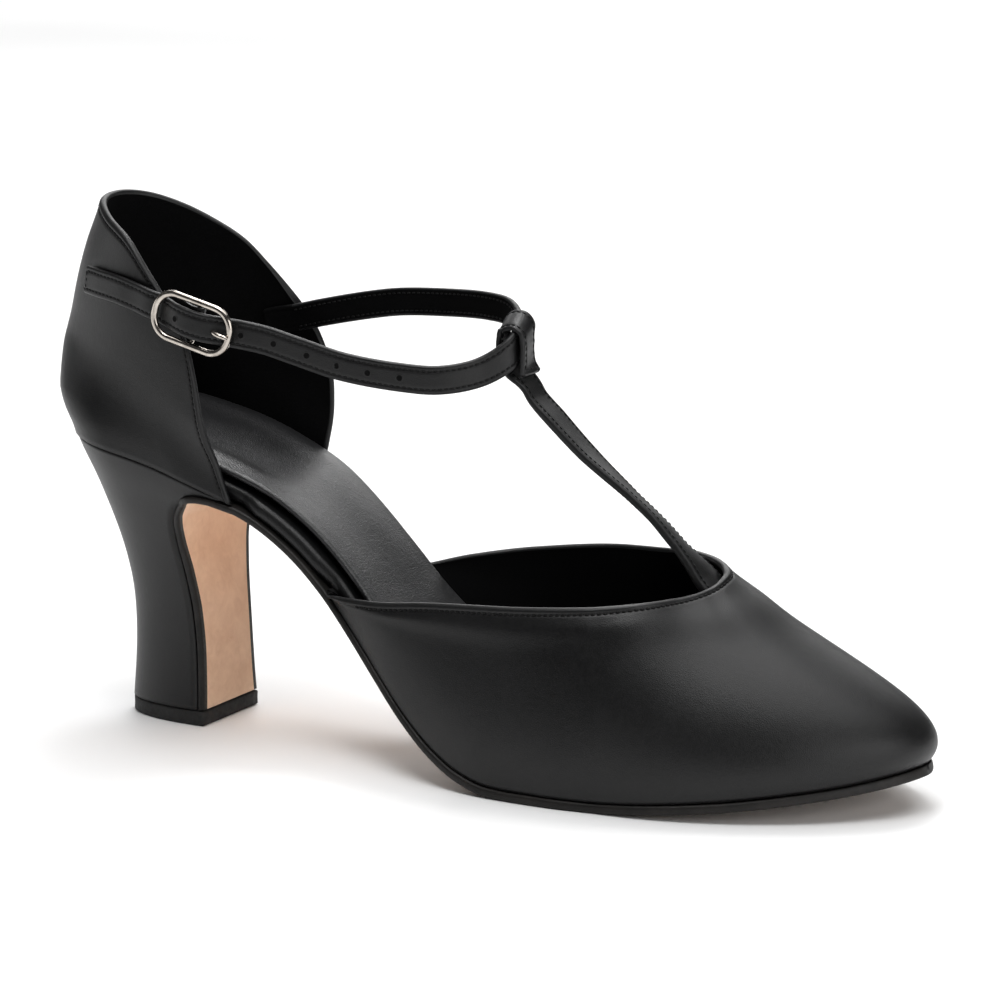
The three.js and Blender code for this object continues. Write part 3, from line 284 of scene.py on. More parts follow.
def quarter_one(u, turn, sign):
    bend = np.clip(np.cos(turn), 0, 1) ** QUARTER_ROUND

    def level(h):
        edge = quarter_edge[sign](h)
        return edge - (edge - quarter_back(h)) * bend

    x = level(u)
    wide = quarter_half[sign](u) * np.sin(np.abs(turn)) ** QUARTER_ROUND * sign
    y = mix(plan_y(level(np.zeros_like(u)), sign), wide, ease((u - 0.07) / 0.36))
    z = mix(bottom_at(x), HEEL_HEIGHT + collar_at[sign](level(np.ones_like(u))), u)
    return np.stack([x, y, z], -1)


def quarter_surface(u, v):
    u, v = np.broadcast_arrays(np.asarray(u, float), np.asarray(v, float))
    turn = (2 * v - 1) * math.pi / 2
    outer = quarter_one(u, np.minimum(turn, 0), -1)
    inner = quarter_one(u, np.maximum(turn, 0), 1)
    return np.where((turn < 0)[..., None], outer, inner)


VAMP = table("foot x y z out up topOut down", [
    (0, 0.3775, -0.332, 0.8, 0, 0.02, 0, 0.02), (0.05, 0.445, -0.381, 0.818, 0.012, 0.12, 0.012, 0.12),
    (0.1, 0.508, -0.4, 0.853, 0.019, 0.2, 0.019, 0.2), (0.18, 0.606, -0.412, 0.888, 0.031, 0.28, 0.038, 0.25),
    (0.24, 0.68, -0.388, 0.92, 0.04, 0.28, 0.065, 0.22), (0.3, 0.731, -0.3, 0.943, 0.05, 0.26, 0.11, 0.2),
    (0.365, 0.748, -0.188, 0.94, 0.07, 0.26, 0.17, 0.21),
    (0.43, 0.763, -0.088, 0.958, 0.1, 0.26, 0.225, 0.26),
    (0.475, 0.768, -0.025, 0.982, 0.125, 0.26, 0.252, 0.3), (0.51, 0.768, 0.015, 1, 0.13, 0.25, 0.257, 0.32),
    (0.55, 0.762, 0.06, 1.018, 0.104, 0.22, 0.236, 0.34), (0.605, 0.74, 0.13, 1.034, 0.075, 0.19, 0.19, 0.35),
    (0.67, 0.711, 0.21, 1.024, 0.045, 0.2, 0.12, 0.33), (0.73, 0.683, 0.29, 0.996, 0.04, 0.27, 0.075, 0.27),
    (0.79, 0.655, 0.356, 0.97, 0.031, 0.29, 0.04, 0.26), (0.85, 0.587, 0.381, 0.95, 0.025, 0.28, 0.019, 0.25),
    (0.92, 0.5, 0.338, 0.905, 0.019, 0.2, 0.012, 0.2), (0.965, 0.44, 0.276, 0.858, 0.012, 0.12, 0.006, 0.12),
    (1, 0.386, 0.222, 0.79, 0, 0.02, 0, 0.02),
])
VAMP_SIZES = (
    ("x", SHOE_LENGTH), ("y", BALL_WIDTH), ("z", VAMP_HEIGHT), ("out", BALL_WIDTH), ("up", VAMP_HEIGHT),
    ("topOut", BALL_WIDTH), ("down", VAMP_HEIGHT),
)
vamp_columns = [curve(VAMP, "foot", column, 1, size) for column, size in VAMP_SIZES]
vamp_top = vamp_columns[:3]
vamp_out, vamp_up, vamp_top_out, vamp_down = vamp_columns[3:]


def feather_line():
    lateral = stations(0.3755 * SHOE_LENGTH, TOE_TIP, 200, False)
    medial = stations(0.384 * SHOE_LENGTH, TOE_TIP, 200, False)[::-1][1:]
    points = np.concatenate([
        np.stack([lateral, plan_y(lateral, -1)], -1),
        np.stack([medial, plan_y(medial, 1)], -1),
    ])
    lengths = travelled(points)
    return points, lengths / lengths[-1]


FEATHER, FEATHER_SHARE = feather_line()


def feather_at(share):
    return follow(FEATHER, FEATHER_SHARE, np.clip(share, 0, 1))


def vamp_surface(u, v):
    u, v = np.broadcast_arrays(np.asarray(u, float), np.asarray(v, float))
    foot = feather_at(v)
    run = unit(feather_at(v + 0.012) - feather_at(v - 0.012))
    out = np.stack([run[..., 1], -run[..., 0], np.zeros_like(v)], -1)
    rise = np.array([0.0, 0.0, 1.0])
    base = np.stack([foot[..., 0], foot[..., 1], bottom_at(foot[..., 0])], -1)
    top = np.stack([column(v) for column in vamp_top], -1)
    low = base + out * vamp_out(v)[..., None] + rise * vamp_up(v)[..., None]
    high = top + out * vamp_top_out(v)[..., None] - rise * vamp_down(v)[..., None]
    w = [(1 - u) ** 3, 3 * u * (1 - u) ** 2, 3 * u * u * (1 - u), u ** 3]
    return sum(point * share[..., None] for point, share in zip((base, low, high, top), w))


def normals_of(surface, u, v, flip=1):
    step = 1e-3
    du = surface(np.minimum(1, u + step), v) - surface(np.maximum(0, u - step), v)
    dv = surface(u, np.minimum(1, v + step)) - surface(u, np.maximum(0, v - step))
    return unit(np.cross(du, dv)) * flip


# Materials. Lengths inside them are in metres.
class Nodes:
    """A short way to write a material's nodes."""

    def __init__(self, name):
        self.material = bpy.data.materials.new(name)
        self.material.use_nodes = True
        self.tree = self.material.node_tree
        self.shader = self.tree.nodes["Principled BSDF"]
        self.where = self.add("ShaderNodeTexCoord").outputs["Object"]

    def add(self, kind, **values):
        node = self.tree.nodes.new(kind)
        for key, value in values.items():
            setattr(node, key, value)
        return node

    def link(self, source, target):
        self.tree.links.new(source, target)

    def noise(self, scale, detail, rough=0.5, distortion=0.0):
        node = self.add("ShaderNodeTexNoise")
        self.link(self.where, node.inputs["Vector"])
        keys = "Scale", "Detail", "Roughness", "Distortion"
        for key, value in zip(keys, (scale, detail, rough, distortion)):
            node.inputs[key].default_value = value
        return node.outputs["Fac"]

    def cells(self, scale):
        node = self.add("ShaderNodeTexVoronoi", feature="DISTANCE_TO_EDGE")
        self.link(self.where, node.inputs["Vector"])
        node.inputs["Scale"].default_value = scale
        return node.outputs["Distance"]

    def ramp(self, source, low, high, first, last):
        node = self.add("ShaderNodeMapRange")
        self.link(source, node.inputs["Value"])
        for key, value in zip(("From Min", "From Max", "To Min", "To Max"), (low, high, first, last)):
            node.inputs[key].default_value = value
        return node.outputs["Result"]

    def colour(self, source, first, last, low=0.35, high=0.65):
        node = self.add("ShaderNodeValToRGB")
        for element, place, shade in zip(node.color_ramp.elements, (low, high), (first, last)):
            element.position = place
            element.color = (*shade, 1.0)
        self.link(source, node.inputs["Fac"])
        return node.outputs["Color"]

    def blend(self, a, b, share):
        """Two noises as one, the first by its share."""
        parts = []
        for value, weight in ((a, share), (b, 1 - share)):
            node = self.add("ShaderNodeMath", operation="MULTIPLY")
            self.link(value, node.inputs[0])
            node.inputs[1].default_value = weight
            parts.append(node.outputs["Value"])
        node = self.add("ShaderNodeMath", operation="ADD")
        for i, part in enumerate(parts):
            self.link(part, node.inputs[i])
        return node.outputs["Value"]

    def bump(self, heights):
        """Stacks (height, distance in metres, strength) bumps."""
        last = None
        for height, distance, strength in heights:
            node = self.add("ShaderNodeBump")
            node.inputs["Distance"].default_value = distance
            node.inputs["Strength"].default_value = strength
            self.link(height, node.inputs["Height"])
            if last is not None:
                self.link(last, node.inputs["Normal"])
            last = node.outputs["Normal"]
        self.link(last, self.shader.inputs["Normal"])

    def finish(self, colour, rough, roughness, bumps, **values):
        """Links the shader's inputs, sets its plain ones and gives the material."""
        self.link(colour, self.shader.inputs["Base Color"])
        self.link(self.ramp(rough, 0.3, 0.7, *roughness), self.shader.inputs["Roughness"])
        if bumps:
            self.bump(bumps)
        for key, value in values.items():
            self.shader.inputs[key.replace("_", " ")].default_value = value
        return self.material


def leather(name, dark, light, rough, grain, strength, coat, pores=1.0, shine=0.34):
    m = Nodes(name)
    broad = m.noise(45, 3)
    fine = m.noise(900, 4, 0.6)
    cells = m.cells(grain)
    wrinkle = m.noise(260, 3, 0.55, 0.4)
    return m.finish(m.colour(m.blend(broad, fine, 0.6), dark, light), m.blend(broad, fine, 0.5), rough, [
        (wrinkle, 0.0003, 0.12 * pores),
        (m.ramp(cells, 0.0, 0.35, 0.0, 1.0), 0.00010, strength),
        (fine, 0.00008, 1.6 * strength),
    ], Coat_Weight=coat, Coat_Roughness=0.32, Specular_IOR_Level=shine)


def plain(name, noises, dark, light, rough, bumps, **values):
    """A material from noises of (scale, detail, roughness, distortion). The first tints it and the second
    roughens it. bumps holds (which noise, distance in metres, strength)."""
    m = Nodes(name)
    made = [m.noise(*noise) for noise in noises]
    return m.finish(m.colour(made[0], dark, light), made[1], rough,
                    [(made[which], distance, strength) for which, distance, strength in bumps], **values)


def lining_material():
    m = Nodes("lining_suede")
    nap = m.noise(2600, 3, 0.7)
    patch = m.noise(120, 3, 0.6)
    shade = m.colour(m.blend(nap, patch, 0.5), (0.0012, 0.0012, 0.0013), (0.0032, 0.0032, 0.0035))
    return m.finish(shade, patch, (0.82, 0.95), [(patch, 0.0002, 0.2), (nap, 0.00008, 0.5)],
                    Specular_IOR_Level=0.08)


def sole_material():
    """Tan suede, with painted shade: dark brown under the tread from the waist forward, which cuts its tan bounce
    light on the floor.
    """
    m = Nodes("sole_suede")
    nap = m.noise(1900, 4, 0.7)
    patch = m.noise(85, 4, 0.6)
    streak = m.noise(330, 3, 0.6, 1.2)
    cloud = m.blend(patch, streak, 0.6)
    split = m.add("ShaderNodeSeparateXYZ")
    m.link(m.where, split.inputs["Vector"])
    # Painted shade: from 0.04 to 0.07 m along the object the underside turns from tan to dark brown, damping its
    # warm bounce light under the shoe.
    underside_shade = m.add("ShaderNodeMix", data_type="RGBA")
    m.link(m.ramp(split.outputs["X"], 0.04, 0.07, 0.0, 1.0), underside_shade.inputs["Factor"])
    m.link(m.colour(cloud, (0.72, 0.46, 0.30), (0.88, 0.62, 0.435), 0.3, 0.7), underside_shade.inputs["A"])
    m.link(m.colour(cloud, (0.20, 0.155, 0.125), (0.30, 0.235, 0.19), 0.3, 0.7), underside_shade.inputs["B"])
    return m.finish(underside_shade.outputs["Result"], nap, (0.78, 0.95), [(patch, 0.0002, 0.15), (nap, 0.00009, 0.45)],
                    Sheen_Weight=0.2, Sheen_Roughness=0.5, Specular_IOR_Level=0.3)


BLACK = (0.0030, 0.0030, 0.0032), (0.0060, 0.0060, 0.0064)
LEATHER = leather("upper_leather", *BLACK, (0.36, 0.46), 2300, 0.24, 0.02)
COVER = leather("cover_leather", *BLACK, (0.38, 0.47), 2500, 0.20, 0.02)
SOCK = leather("sock_leather", (0.008, 0.008, 0.0085), (0.016, 0.016, 0.017), (0.36, 0.48), 1500, 0.45, 0.05,
               pores=3.0, shine=0.5)
LINING = lining_material()
SUEDE = sole_material()
EDGE = plain("edge_paint", [(150, 3, 0.5), (1400, 3, 0.6)], (0.005, 0.0045, 0.004), (0.013, 0.011, 0.010),
             (0.42, 0.62), [(0, 0.0002, 0.2), (1, 0.00006, 0.4)], Specular_IOR_Level=0.3)
RUBBER = plain("tip_rubber", [(130, 3, 0.5), (1100, 4, 0.6)], (0.008, 0.008, 0.008), (0.017, 0.017, 0.017),
               (0.58, 0.78), [(1, 0.00008, 0.5)], Specular_IOR_Level=0.4)
THREAD = plain("thread_black", [(4200, 2, 0.6)] * 2, (0.0008, 0.0008, 0.0008), (0.003, 0.003, 0.003),
               (0.5, 0.68), [(1, 0.00005, 0.5)], Specular_IOR_Level=0.22)
# Painted shade: a dark, dull material for the disc that stands for the shaded inside of a punched hole.
HOLE_SHADE = plain("hole_painted_shade", [(2500, 2, 0.6)] * 2, (0.002, 0.002, 0.002), (0.005, 0.005, 0.005),
             (0.85, 0.95), [(1, 0.00005, 0.5)], Specular_IOR_Level=0.1)
NICKEL = plain("buckle_nickel", [(380, 3, 0.6), (380, 3, 0.6), (3200, 2, 0.5, 2.0)], (0.42, 0.38, 0.34),
               (0.60, 0.55, 0.495), (0.12, 0.22), [(2, 0.00001, 0.2)], Metallic=1.0)


# Meshes.
def placed(name, data):
    """A new object of the scene."""
    made = bpy.data.objects.new(name, data)
    bpy.context.scene.collection.objects.link(made)
    return made


def aimed(made, direction):
    made.rotation_mode = "QUATERNION"
    made.rotation_quaternion = direction.to_track_quat("-Z", "Y")


def add_mesh(name, points, faces, indices, materials, slot, stands_for=(), merge=0.0):
    """A new piece from points in millimetres, riding on the one body."""
    data = bpy.data.meshes.new(name)
    shifted = (np.asarray(points, float) + [OFFSET_X, 0, 0]) * 0.001
    data.from_pydata(shifted.tolist(), [], [list(map(int, face)) for face in faces])
    for material in materials:
        data.materials.append(material)
    if indices is not None:
        data.polygons.foreach_set("material_index", np.asarray(indices, np.int32))
    bm = bmesh.new()
    bm.from_mesh(data)
    if merge:
        bmesh.ops.remove_doubles(bm, verts=bm.verts, dist=merge * 0.001)
    bmesh.ops.recalc_face_normals(bm, faces=bm.faces)
    for face in bm.faces:
        face.smooth = True
    bm.to_mesh(data)
    bm.free()
    piece = placed(name, data)
    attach(piece, "root")
    if stands_for:
        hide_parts(*stands_for)
    return piece


# Points of one surface closer than this, in millimetres, become one.
MERGE = 0.004


def grid_faces(rows, cols, start=0):
    i, j = np.meshgrid(np.arange(rows - 1), np.arange(cols - 1), indexing="ij")
    a = start + i * cols + j
    return np.stack([a, a + cols, a + cols + 1, a + 1], -1).reshape(-1, 4)


def border_faces(rows, cols):
    """The four borders between two skins of the same grid."""
    grid = np.arange(rows * cols).reshape(rows, cols)
    lines = grid[:, 0], grid[:, -1], grid[0], grid[-1]
    return np.concatenate([np.stack([a[:-1], a[1:], a[1:] + grid.size, a[:-1] + grid.size], -1) for a in lines])


def ring_faces(count, sides, closed=False):
    """The faces of a tube of rings, and its two ends if it isn't closed."""
    faces = []
    for i in range(count if closed else count - 1):
        n = (i + 1) % count
        for j in range(sides):
            m = (j + 1) % sides
            faces.append((i * sides + j, i * sides + m, n * sides + m, n * sides + j))
    if not closed:
        faces += [tuple(range(sides - 1, -1, -1)), tuple(range((count - 1) * sides, count * sides))]
    return faces


def joined(parts):
    """The points and faces of several parts as one."""
    points, faces, start = [], [], 0
    for part_points, part_faces in parts:
        points.append(part_points)
        faces += [tuple(index + start for index in face) for face in part_faces]
        start += len(part_points)
    return np.concatenate(points), faces


def two_skins(name, outer, inner, materials, outer_index, inner_index, border_index, slot, stands_for):
    """A closed piece from two grids of points. The indices pick materials, for each face of the grid."""
    rows, cols = outer.shape[:2]
    faces = [grid_faces(rows, cols), grid_faces(rows, cols, rows * cols)[:, ::-1], border_faces(rows, cols)]
    indices = [np.broadcast_to(index, (rows - 1, cols - 1)).reshape(-1) for index in (outer_index, inner_index)]
    indices.append(np.full(len(faces[2]), border_index))
    points = np.concatenate([outer.reshape(-1, 3), inner.reshape(-1, 3)])
    return add_mesh(name, points, np.concatenate(faces), np.concatenate(indices), materials, slot, stands_for,
                    merge=MERGE)


def rim(distance, radius):
    """How much of the half thickness is left near a rounded edge."""
    return np.sqrt(np.maximum(0, 1 - (1 - np.minimum(distance, radius) / radius) ** 2))


def swell(distance, middle, width):
    return np.exp(-(((distance - middle) / width) ** 2))


# Steps in from a folded edge, where its seam lies, how round it is, and a distance that is out of its reach.
EDGE_STEPS = np.array([0, 0.03, 0.11, 0.25, 0.42, 0.62, 0.85, 1.1, 1.4, 1.62, 1.78, 1.9, 2.02, 2.2, 2.6, 3.2])
SEAM_IN = 1.9
EDGE_ROUND = 0.85
FAR = 99.0


def folded_shell(name, surface, flip, body_rows, body_cols, ends, stands_for, soften):
    """A hollow upper piece: outer leather with a folded, sewn edge, and its lining.
    ends says if the first and last columns are folded edges too."""
    k = len(EDGE_STEPS)
    shares = np.linspace(0, 1, body_rows + 1)[:-1]
    nominal = np.concatenate([shares * 0.93, np.linspace(0.93, 1, k)])
    step = 0.01

    def side_columns(u):
        if not ends:
            return np.broadcast_to(np.linspace(0, 1, body_cols + 1), (len(u), body_cols + 1))
        pace = 0.006
        start, end = (
            np.linalg.norm(surface(u, np.full_like(u, a)) - surface(u, np.full_like(u, b)), axis=-1)[:, None] / pace
            for a, b in ((pace, 0), (1 - pace, 1))
        )
        return spread(EDGE_STEPS / start, 1 - EDGE_STEPS[::-1] / end, body_cols + 1)

    v = side_columns(nominal)
    places = np.linspace(0, 1, 60)
    tracks = surface(np.linspace(0, 1, 40)[:, None], places[None])
    length_at = np.interp(v, places, np.linalg.norm(np.diff(tracks, axis=0), axis=-1).sum(0))
    speed = np.linalg.norm(surface(np.ones_like(v), v) - surface(np.full_like(v, 1 - step), v), axis=-1) / step
    small = np.minimum(1, length_at / 7)
    reach = EDGE_STEPS[::-1][:, None] * small[-k:]
    top = 1 - reach / np.maximum(speed[-k:], 1e-6)
    body = shares[:, None] * (1 - EDGE_STEPS[-1] * small[:body_rows] / np.maximum(speed[:body_rows], 1e-6))
    u = np.clip(np.concatenate([body, top]), 0, 1)
    outer = surface(u, v)
    normal = normals_of(surface, u, v, flip)
    from_top, from_side = np.full(u.shape, FAR), np.full(u.shape, FAR)
    from_top[-k:] = EDGE_STEPS[::-1][:, None]
    if ends:
        from_side[:, :k] = EDGE_STEPS
        from_side[:, -k:] = EDGE_STEPS[::-1]
    near = np.minimum(from_top, from_side)
    scale = np.where(from_top < FAR, small, 1.0)
    thin = rim(from_top, EDGE_ROUND) * rim(from_side, EDGE_ROUND)
    bead = (0.16 * swell(near, 1.15, 0.5) - 0.26 * swell(near, SEAM_IN, 0.3)) * thin * scale ** 2
    bead = bead + soften(u, v, outer) * np.minimum(1, near / 4)
    half = UPPER_WALL / 2
    middle = outer - normal * half
    face = middle + normal * (half * thin + bead)[..., None]
    back = middle - normal * (half * thin + 0.05 * swell(near, 1.0, 0.5) * thin)[..., None]
    back[0, :, 2] = bottom_at(back[0, :, 0])
    quads = near[:-1, :-1]
    two_skins(name, face, back, [LEATHER, LINING], 0, np.where(quads < 1.0, 0, 1), 0, "upper_leather",
              stands_for)
    return face, normal


def tube(points, radii, square, sides=16, closed=False, flat=1.0):
    """Rings of a wire along points; square is the direction that stays across it."""
    points = np.asarray(points, float)
    run = unit(np.roll(points, -1, 0) - np.roll(points, 1, 0)) if closed else headings(points)
    square = np.broadcast_to(square, points.shape)
    beside = unit(np.cross(run, square))
    over = unit(np.cross(beside, run))
    turn = np.arange(sides) * 2 * math.pi / sides
    radii = np.broadcast_to(radii, (len(points),))
    rings = (
        points[:, None]
        + over[:, None] * (np.sin(turn)[None, :, None] * radii[:, None, None] * flat)
        + beside[:, None] * (np.cos(turn)[None, :, None] * radii[:, None, None])
    )
    return rings.reshape(-1, 3), ring_faces(len(points), sides, closed)


# A stitch: places along it, how far each stands out, and its size there.
STITCH = table("along lift size", [
    (0.0, -0.16, 0.45), (0.12, 0.02, 0.85), (0.35, 0.08, 1.0), (0.65, 0.08, 1.0), (0.88, 0.02, 0.85),
    (1.0, -0.16, 0.45),
])
PITCH = 1.45
DASH_SHARE = 1.0 / 1.45


def stitches(name, paths, radius=0.27, lift=0.12):
    """Rows of thread: each path is (points, normals), both along the seam."""
    parts = []
    for path, outward in paths:
        lengths = travelled(path)
        number = int(lengths[-1] // PITCH)
        if number < 1:
            continue
        pace = lengths[-1] / number
        for k in range(number):
            at = (k + (1 - DASH_SHARE) / 2 + STITCH["along"] * DASH_SHARE) * pace
            out = unit(follow(outward, lengths, at))
            here = follow(path, lengths, at) + out * (STITCH["lift"] + lift)[:, None]
            parts.append(tube(here, radius * STITCH["size"], out, sides=7, flat=0.8))
    return add_mesh(name, *joined(parts), None, [THREAD], "upper_leather")


# Straps, as in the part's source.
BUCKLE_TILT = (math.cos(BUCKLE_ANGLE), math.sin(BUCKLE_ANGLE))


def quarter_wall(x, z, sign):
    """The quarter's outer face at a place along the shoe and a height."""
    vs = mix(0.5, 0.0 if sign < 0 else 1.0, np.sin(np.linspace(0, math.pi / 2, 700)))
    u = (z - float(bottom_at(x))) / COUNTER_HEIGHT
    y = 0.0
    for _ in range(8):
        line = quarter_surface(u, vs)
        ahead = min(x, line[-1, 0])
        y = np.interp(ahead, line[:, 0], line[:, 1])
        u += (z - np.interp(ahead, line[:, 0], line[:, 2])) / COUNTER_HEIGHT
    return np.array([x, y, z])


def off_quarter(x, z, sign, distance):
    along = unit(quarter_wall(x + 2, z, sign) - quarter_wall(x - 2, z, sign))
    upward = unit(quarter_wall(x, z + 2, sign) - quarter_wall(x, z - 2, sign))
    out = unit(np.cross(along, upward)) * (-1 if sign > 0 else 1)
    return quarter_wall(x, z, sign) + out * distance, upward


BUCKLE_Z = HEEL_HEIGHT + BUCKLE_UP * COUNTER_HEIGHT
BUCKLE_ORIGIN = quarter_wall(BUCKLE_ALONG * SHOE_LENGTH, BUCKLE_Z, -1)


def buckle_at(to_toe, out, upward):
    x = to_toe * BUCKLE_TILT[0] + upward * BUCKLE_TILT[1]
    z = -to_toe * BUCKLE_TILT[1] + upward * BUCKLE_TILT[0]
    return BUCKLE_ORIGIN + np.array([x, -out, z])


BAR_LIFT = CLEARANCE + TAB_THICKNESS + CLEARANCE + WIRE / 2
STRAP_LIFT = CLEARANCE + STRAP_THICKNESS / 2
STRAP_OVER_LEAF = STRAP_LIFT + CLEARANCE + TAB_THICKNESS
STRAP_OVER_BAR = BAR_LIFT + WIRE / 2 + CLEARANCE + PRONG + CLEARANCE + STRAP_THICKNESS / 2
FRAME_LIFT = STRAP_OVER_LEAF + STRAP_THICKNESS / 2 + CLEARANCE + WIRE / 2 + 1.5 * BOW_ROOM

STRAP_END = table("along up", [
    (0.0771, 0.633), (0.1, 0.628), (0.1292, 0.618), (0.153, 0.598),
])
STRAP_BUCKLE = table("toToe overLeaf overBar upward", [
    (-0.62, 0.8, 0, 0), (-0.47, 1, 0, 0), (-0.31, 1, 0.37, 0), (-0.16, 1, 0.84, 0), (0, 1, 1, 0),
    (0.16, 1, 0.84, 0.01), (0.31, 1, 0.37, 0.04), (0.47, 1, 0, 0.09), (0.62, 0.8, 0, 0.16),
])
STRAP_SPAN = table("along across up lean", [
    (0.3093, -0.535, 0.462, 0), (0.3432, -0.505, 0.421, 0), (0.385, -0.447, 0.366, 0),
    (0.4449, -0.382, 0.331, 0), (0.4818, -0.306, 0.322, 2), (0.514, -0.19, 0.352, 5),
    (0.5372, -0.085, 0.423, 4), (0.5375, 0, 0.453, 4), (0.533, 0.067, 0.489, 4), (0.5205, 0.137, 0.535, 5),
    (0.5021, 0.208, 0.563, 4), (0.4691, 0.278, 0.569, 2), (0.4025, 0.382, 0.549, 0),
    (0.3517, 0.414, 0.529, 0), (0.3093, 0.4255, 0.496, 0),
])
STRAP_INSIDE = table("along up", [
    (0.258, 0.454), (0.229, 0.424), (0.199, 0.389), (0.1864, 0.373),
])
STRAP_FRONT = int(np.flatnonzero(STRAP_SPAN["across"] == 0)[0])


def rows_of(rows):
    names = list(rows)
    return [dict(zip(names, values)) for values in zip(*rows.values())]


def strap_knots():
    knots = []
    for row in rows_of(STRAP_END):
        z = HEEL_HEIGHT + row["up"] * COUNTER_HEIGHT
        knots.append(off_quarter(row["along"] * SHOE_LENGTH, z, -1, STRAP_LIFT + BOW_ROOM))
    for row in rows_of(STRAP_BUCKLE):
        out = mix(mix(STRAP_LIFT, STRAP_OVER_LEAF, row["overLeaf"]), STRAP_OVER_BAR, row["overBar"])
        flat = buckle_at(row["toToe"] * BUCKLE_LENGTH, 0, row["upward"] * STRAP_WIDTH)
        knots.append(off_quarter(flat[0], flat[2], -1, out))
    span = np.stack([
        STRAP_SPAN["along"] * SHOE_LENGTH,
        STRAP_SPAN["across"] * HEEL_WIDTH,
        HEEL_HEIGHT + STRAP_SPAN["up"] * COUNTER_HEIGHT,
    ], -1)
    last = len(span) - 1
    for i, point in enumerate(span):
        run = span[min(last, i + 1)] - span[max(0, i - 1)]
        out = unit(np.array([run[1], -run[0], 0.0]))
        lean = math.radians(STRAP_SPAN["lean"][i])
        knots.append((point, np.array([0, 0, math.cos(lean)]) - out * math.sin(lean)))
    inside = -(UPPER_WALL + CLEARANCE + STRAP_THICKNESS / 2 + BOW_ROOM)
    for row in rows_of(STRAP_INSIDE):
        z = HEEL_HEIGHT + row["up"] * COUNTER_HEIGHT
        knots.append(off_quarter(row["along"] * SHOE_LENGTH, z, 1, inside))
    return knots


class Line:
    """A centripetal line through knots, by share of its length."""

    def __init__(self, knots):
        self.points = np.array([knot[0] for knot in knots])
        self.ups = np.array([knot[1] for knot in knots])
        p = self.points
        self.padded = np.concatenate([[2 * p[0] - p[1]], p, [2 * p[-1] - p[-2]]])
        self.t = np.linspace(0, 1, 6001)
        lengths = travelled(self.at(self.t))
        self.length = lengths[-1]
        self.share = lengths / self.length

    def at(self, t):
        place = np.clip(t, 0, 1) * (len(self.points) - 1)
        i = np.minimum(len(self.points) - 2, np.floor(place).astype(int))
        w = (place - i)[:, None]
        p0, p1, p2, p3 = (self.padded[i + k] for k in range(4))
        d0, d1, d2 = (np.linalg.norm(b - a, axis=1)[:, None] ** 0.5 for a, b in ((p0, p1), (p1, p2), (p2, p3)))
        t1 = ((p1 - p0) / d0 - (p2 - p0) / (d0 + d1) + (p2 - p1) / d1) * d1
        t2 = ((p2 - p1) / d1 - (p3 - p1) / (d1 + d2) + (p3 - p2) / d2) * d1
        return p1 + t1 * w + (-3 * p1 + 3 * p2 - 2 * t1 - t2) * w ** 2 + (2 * p1 - 2 * p2 + t1 + t2) * w ** 3

    def frames(self, shares):
        t = np.interp(shares, self.share, self.t)
        point = self.at(t)
        ahead, behind = self.at(np.minimum(1, t + 1e-4)), self.at(np.maximum(0, t - 1e-4))
        direction = unit(ahead - behind)
        place = t * (len(self.points) - 1)
        i = np.minimum(len(self.points) - 2, np.floor(place).astype(int))
        across = mix(self.ups[i], self.ups[i + 1], (place - i)[:, None])
        across = unit(across - direction * (across * direction).sum(1, keepdims=True))
        out = unit(np.cross(direction, across))
        return point, direction, across, out


# Steps in from a strap's edge and end, where its seam lies, and how its corners and rims are rounded.
STRAP_EDGE = np.array([0, 0.02, 0.08, 0.18, 0.32, 0.5, 0.7, 0.95, 1.15, 1.3, 1.45, 1.7])
STRAP_ENDS = np.array([0, 0.04, 0.15, 0.35, 0.6, 0.9, 1.3, 1.8])
STRAP_SEAM = 1.3
STRAP_CORNER = 1.1
STRAP_ROUND = 0.55


def strap_piece(name, line, low, high, thickness, stands_for, count, crown=None, lined=0, tucked=2.0):
    """A folded, sewn leather strap along a line. low, high and thickness are functions of the share of its
    length. Past the share tucked it wears the lining on both faces."""
    ends = STRAP_ENDS / line.length
    shares = np.concatenate([ends, np.linspace(ends[-1], 1 - ends[-1], count)[1:-1], 1 - ends[::-1]])
    point, _, across, out = line.frames(shares)
    away = np.minimum(shares, 1 - shares) * line.length
    corner = STRAP_CORNER * (1 - rim(away, STRAP_CORNER))
    lo = low(shares) + corner
    span = (high(shares) - corner - lo)[:, None]
    first = STRAP_EDGE * np.ones_like(span)
    columns = spread(first, span - first[:, ::-1], 7)
    near = np.maximum(np.minimum(columns, span - columns), 0)
    half = thickness(shares)[:, None] / 2
    body = half * rim(near, STRAP_ROUND) * np.maximum(rim(away, 0.5)[:, None], 0.02)
    detail = 0.08 * (1 - swell(near, 0, 1.0)) - 0.16 * swell(near, STRAP_SEAM, 0.2)
    detail = detail * np.minimum(1, body / 0.3)
    bow = crown(shares)[:, None] * (1 - (2 * columns / span - 1) ** 2) if crown else np.zeros_like(columns)
    middle = point[:, None] + across[:, None] * (lo[:, None] + columns)[..., None]
    face = middle + out[:, None] * (bow + body + detail)[..., None]
    back = middle + out[:, None] * (bow - body - 0.4 * detail)[..., None]
    hidden = (shares[:-1] > tucked)[:, None]
    inner = np.where((near[:-1, :-1] > 0.5) | hidden, lined, 0)
    outer = np.where(hidden, 1, np.zeros_like(inner))
    return two_skins(name, face, back, [LEATHER, LINING], outer, inner, 1 if tucked < 1 else 0, "upper_leather",
                     stands_for)


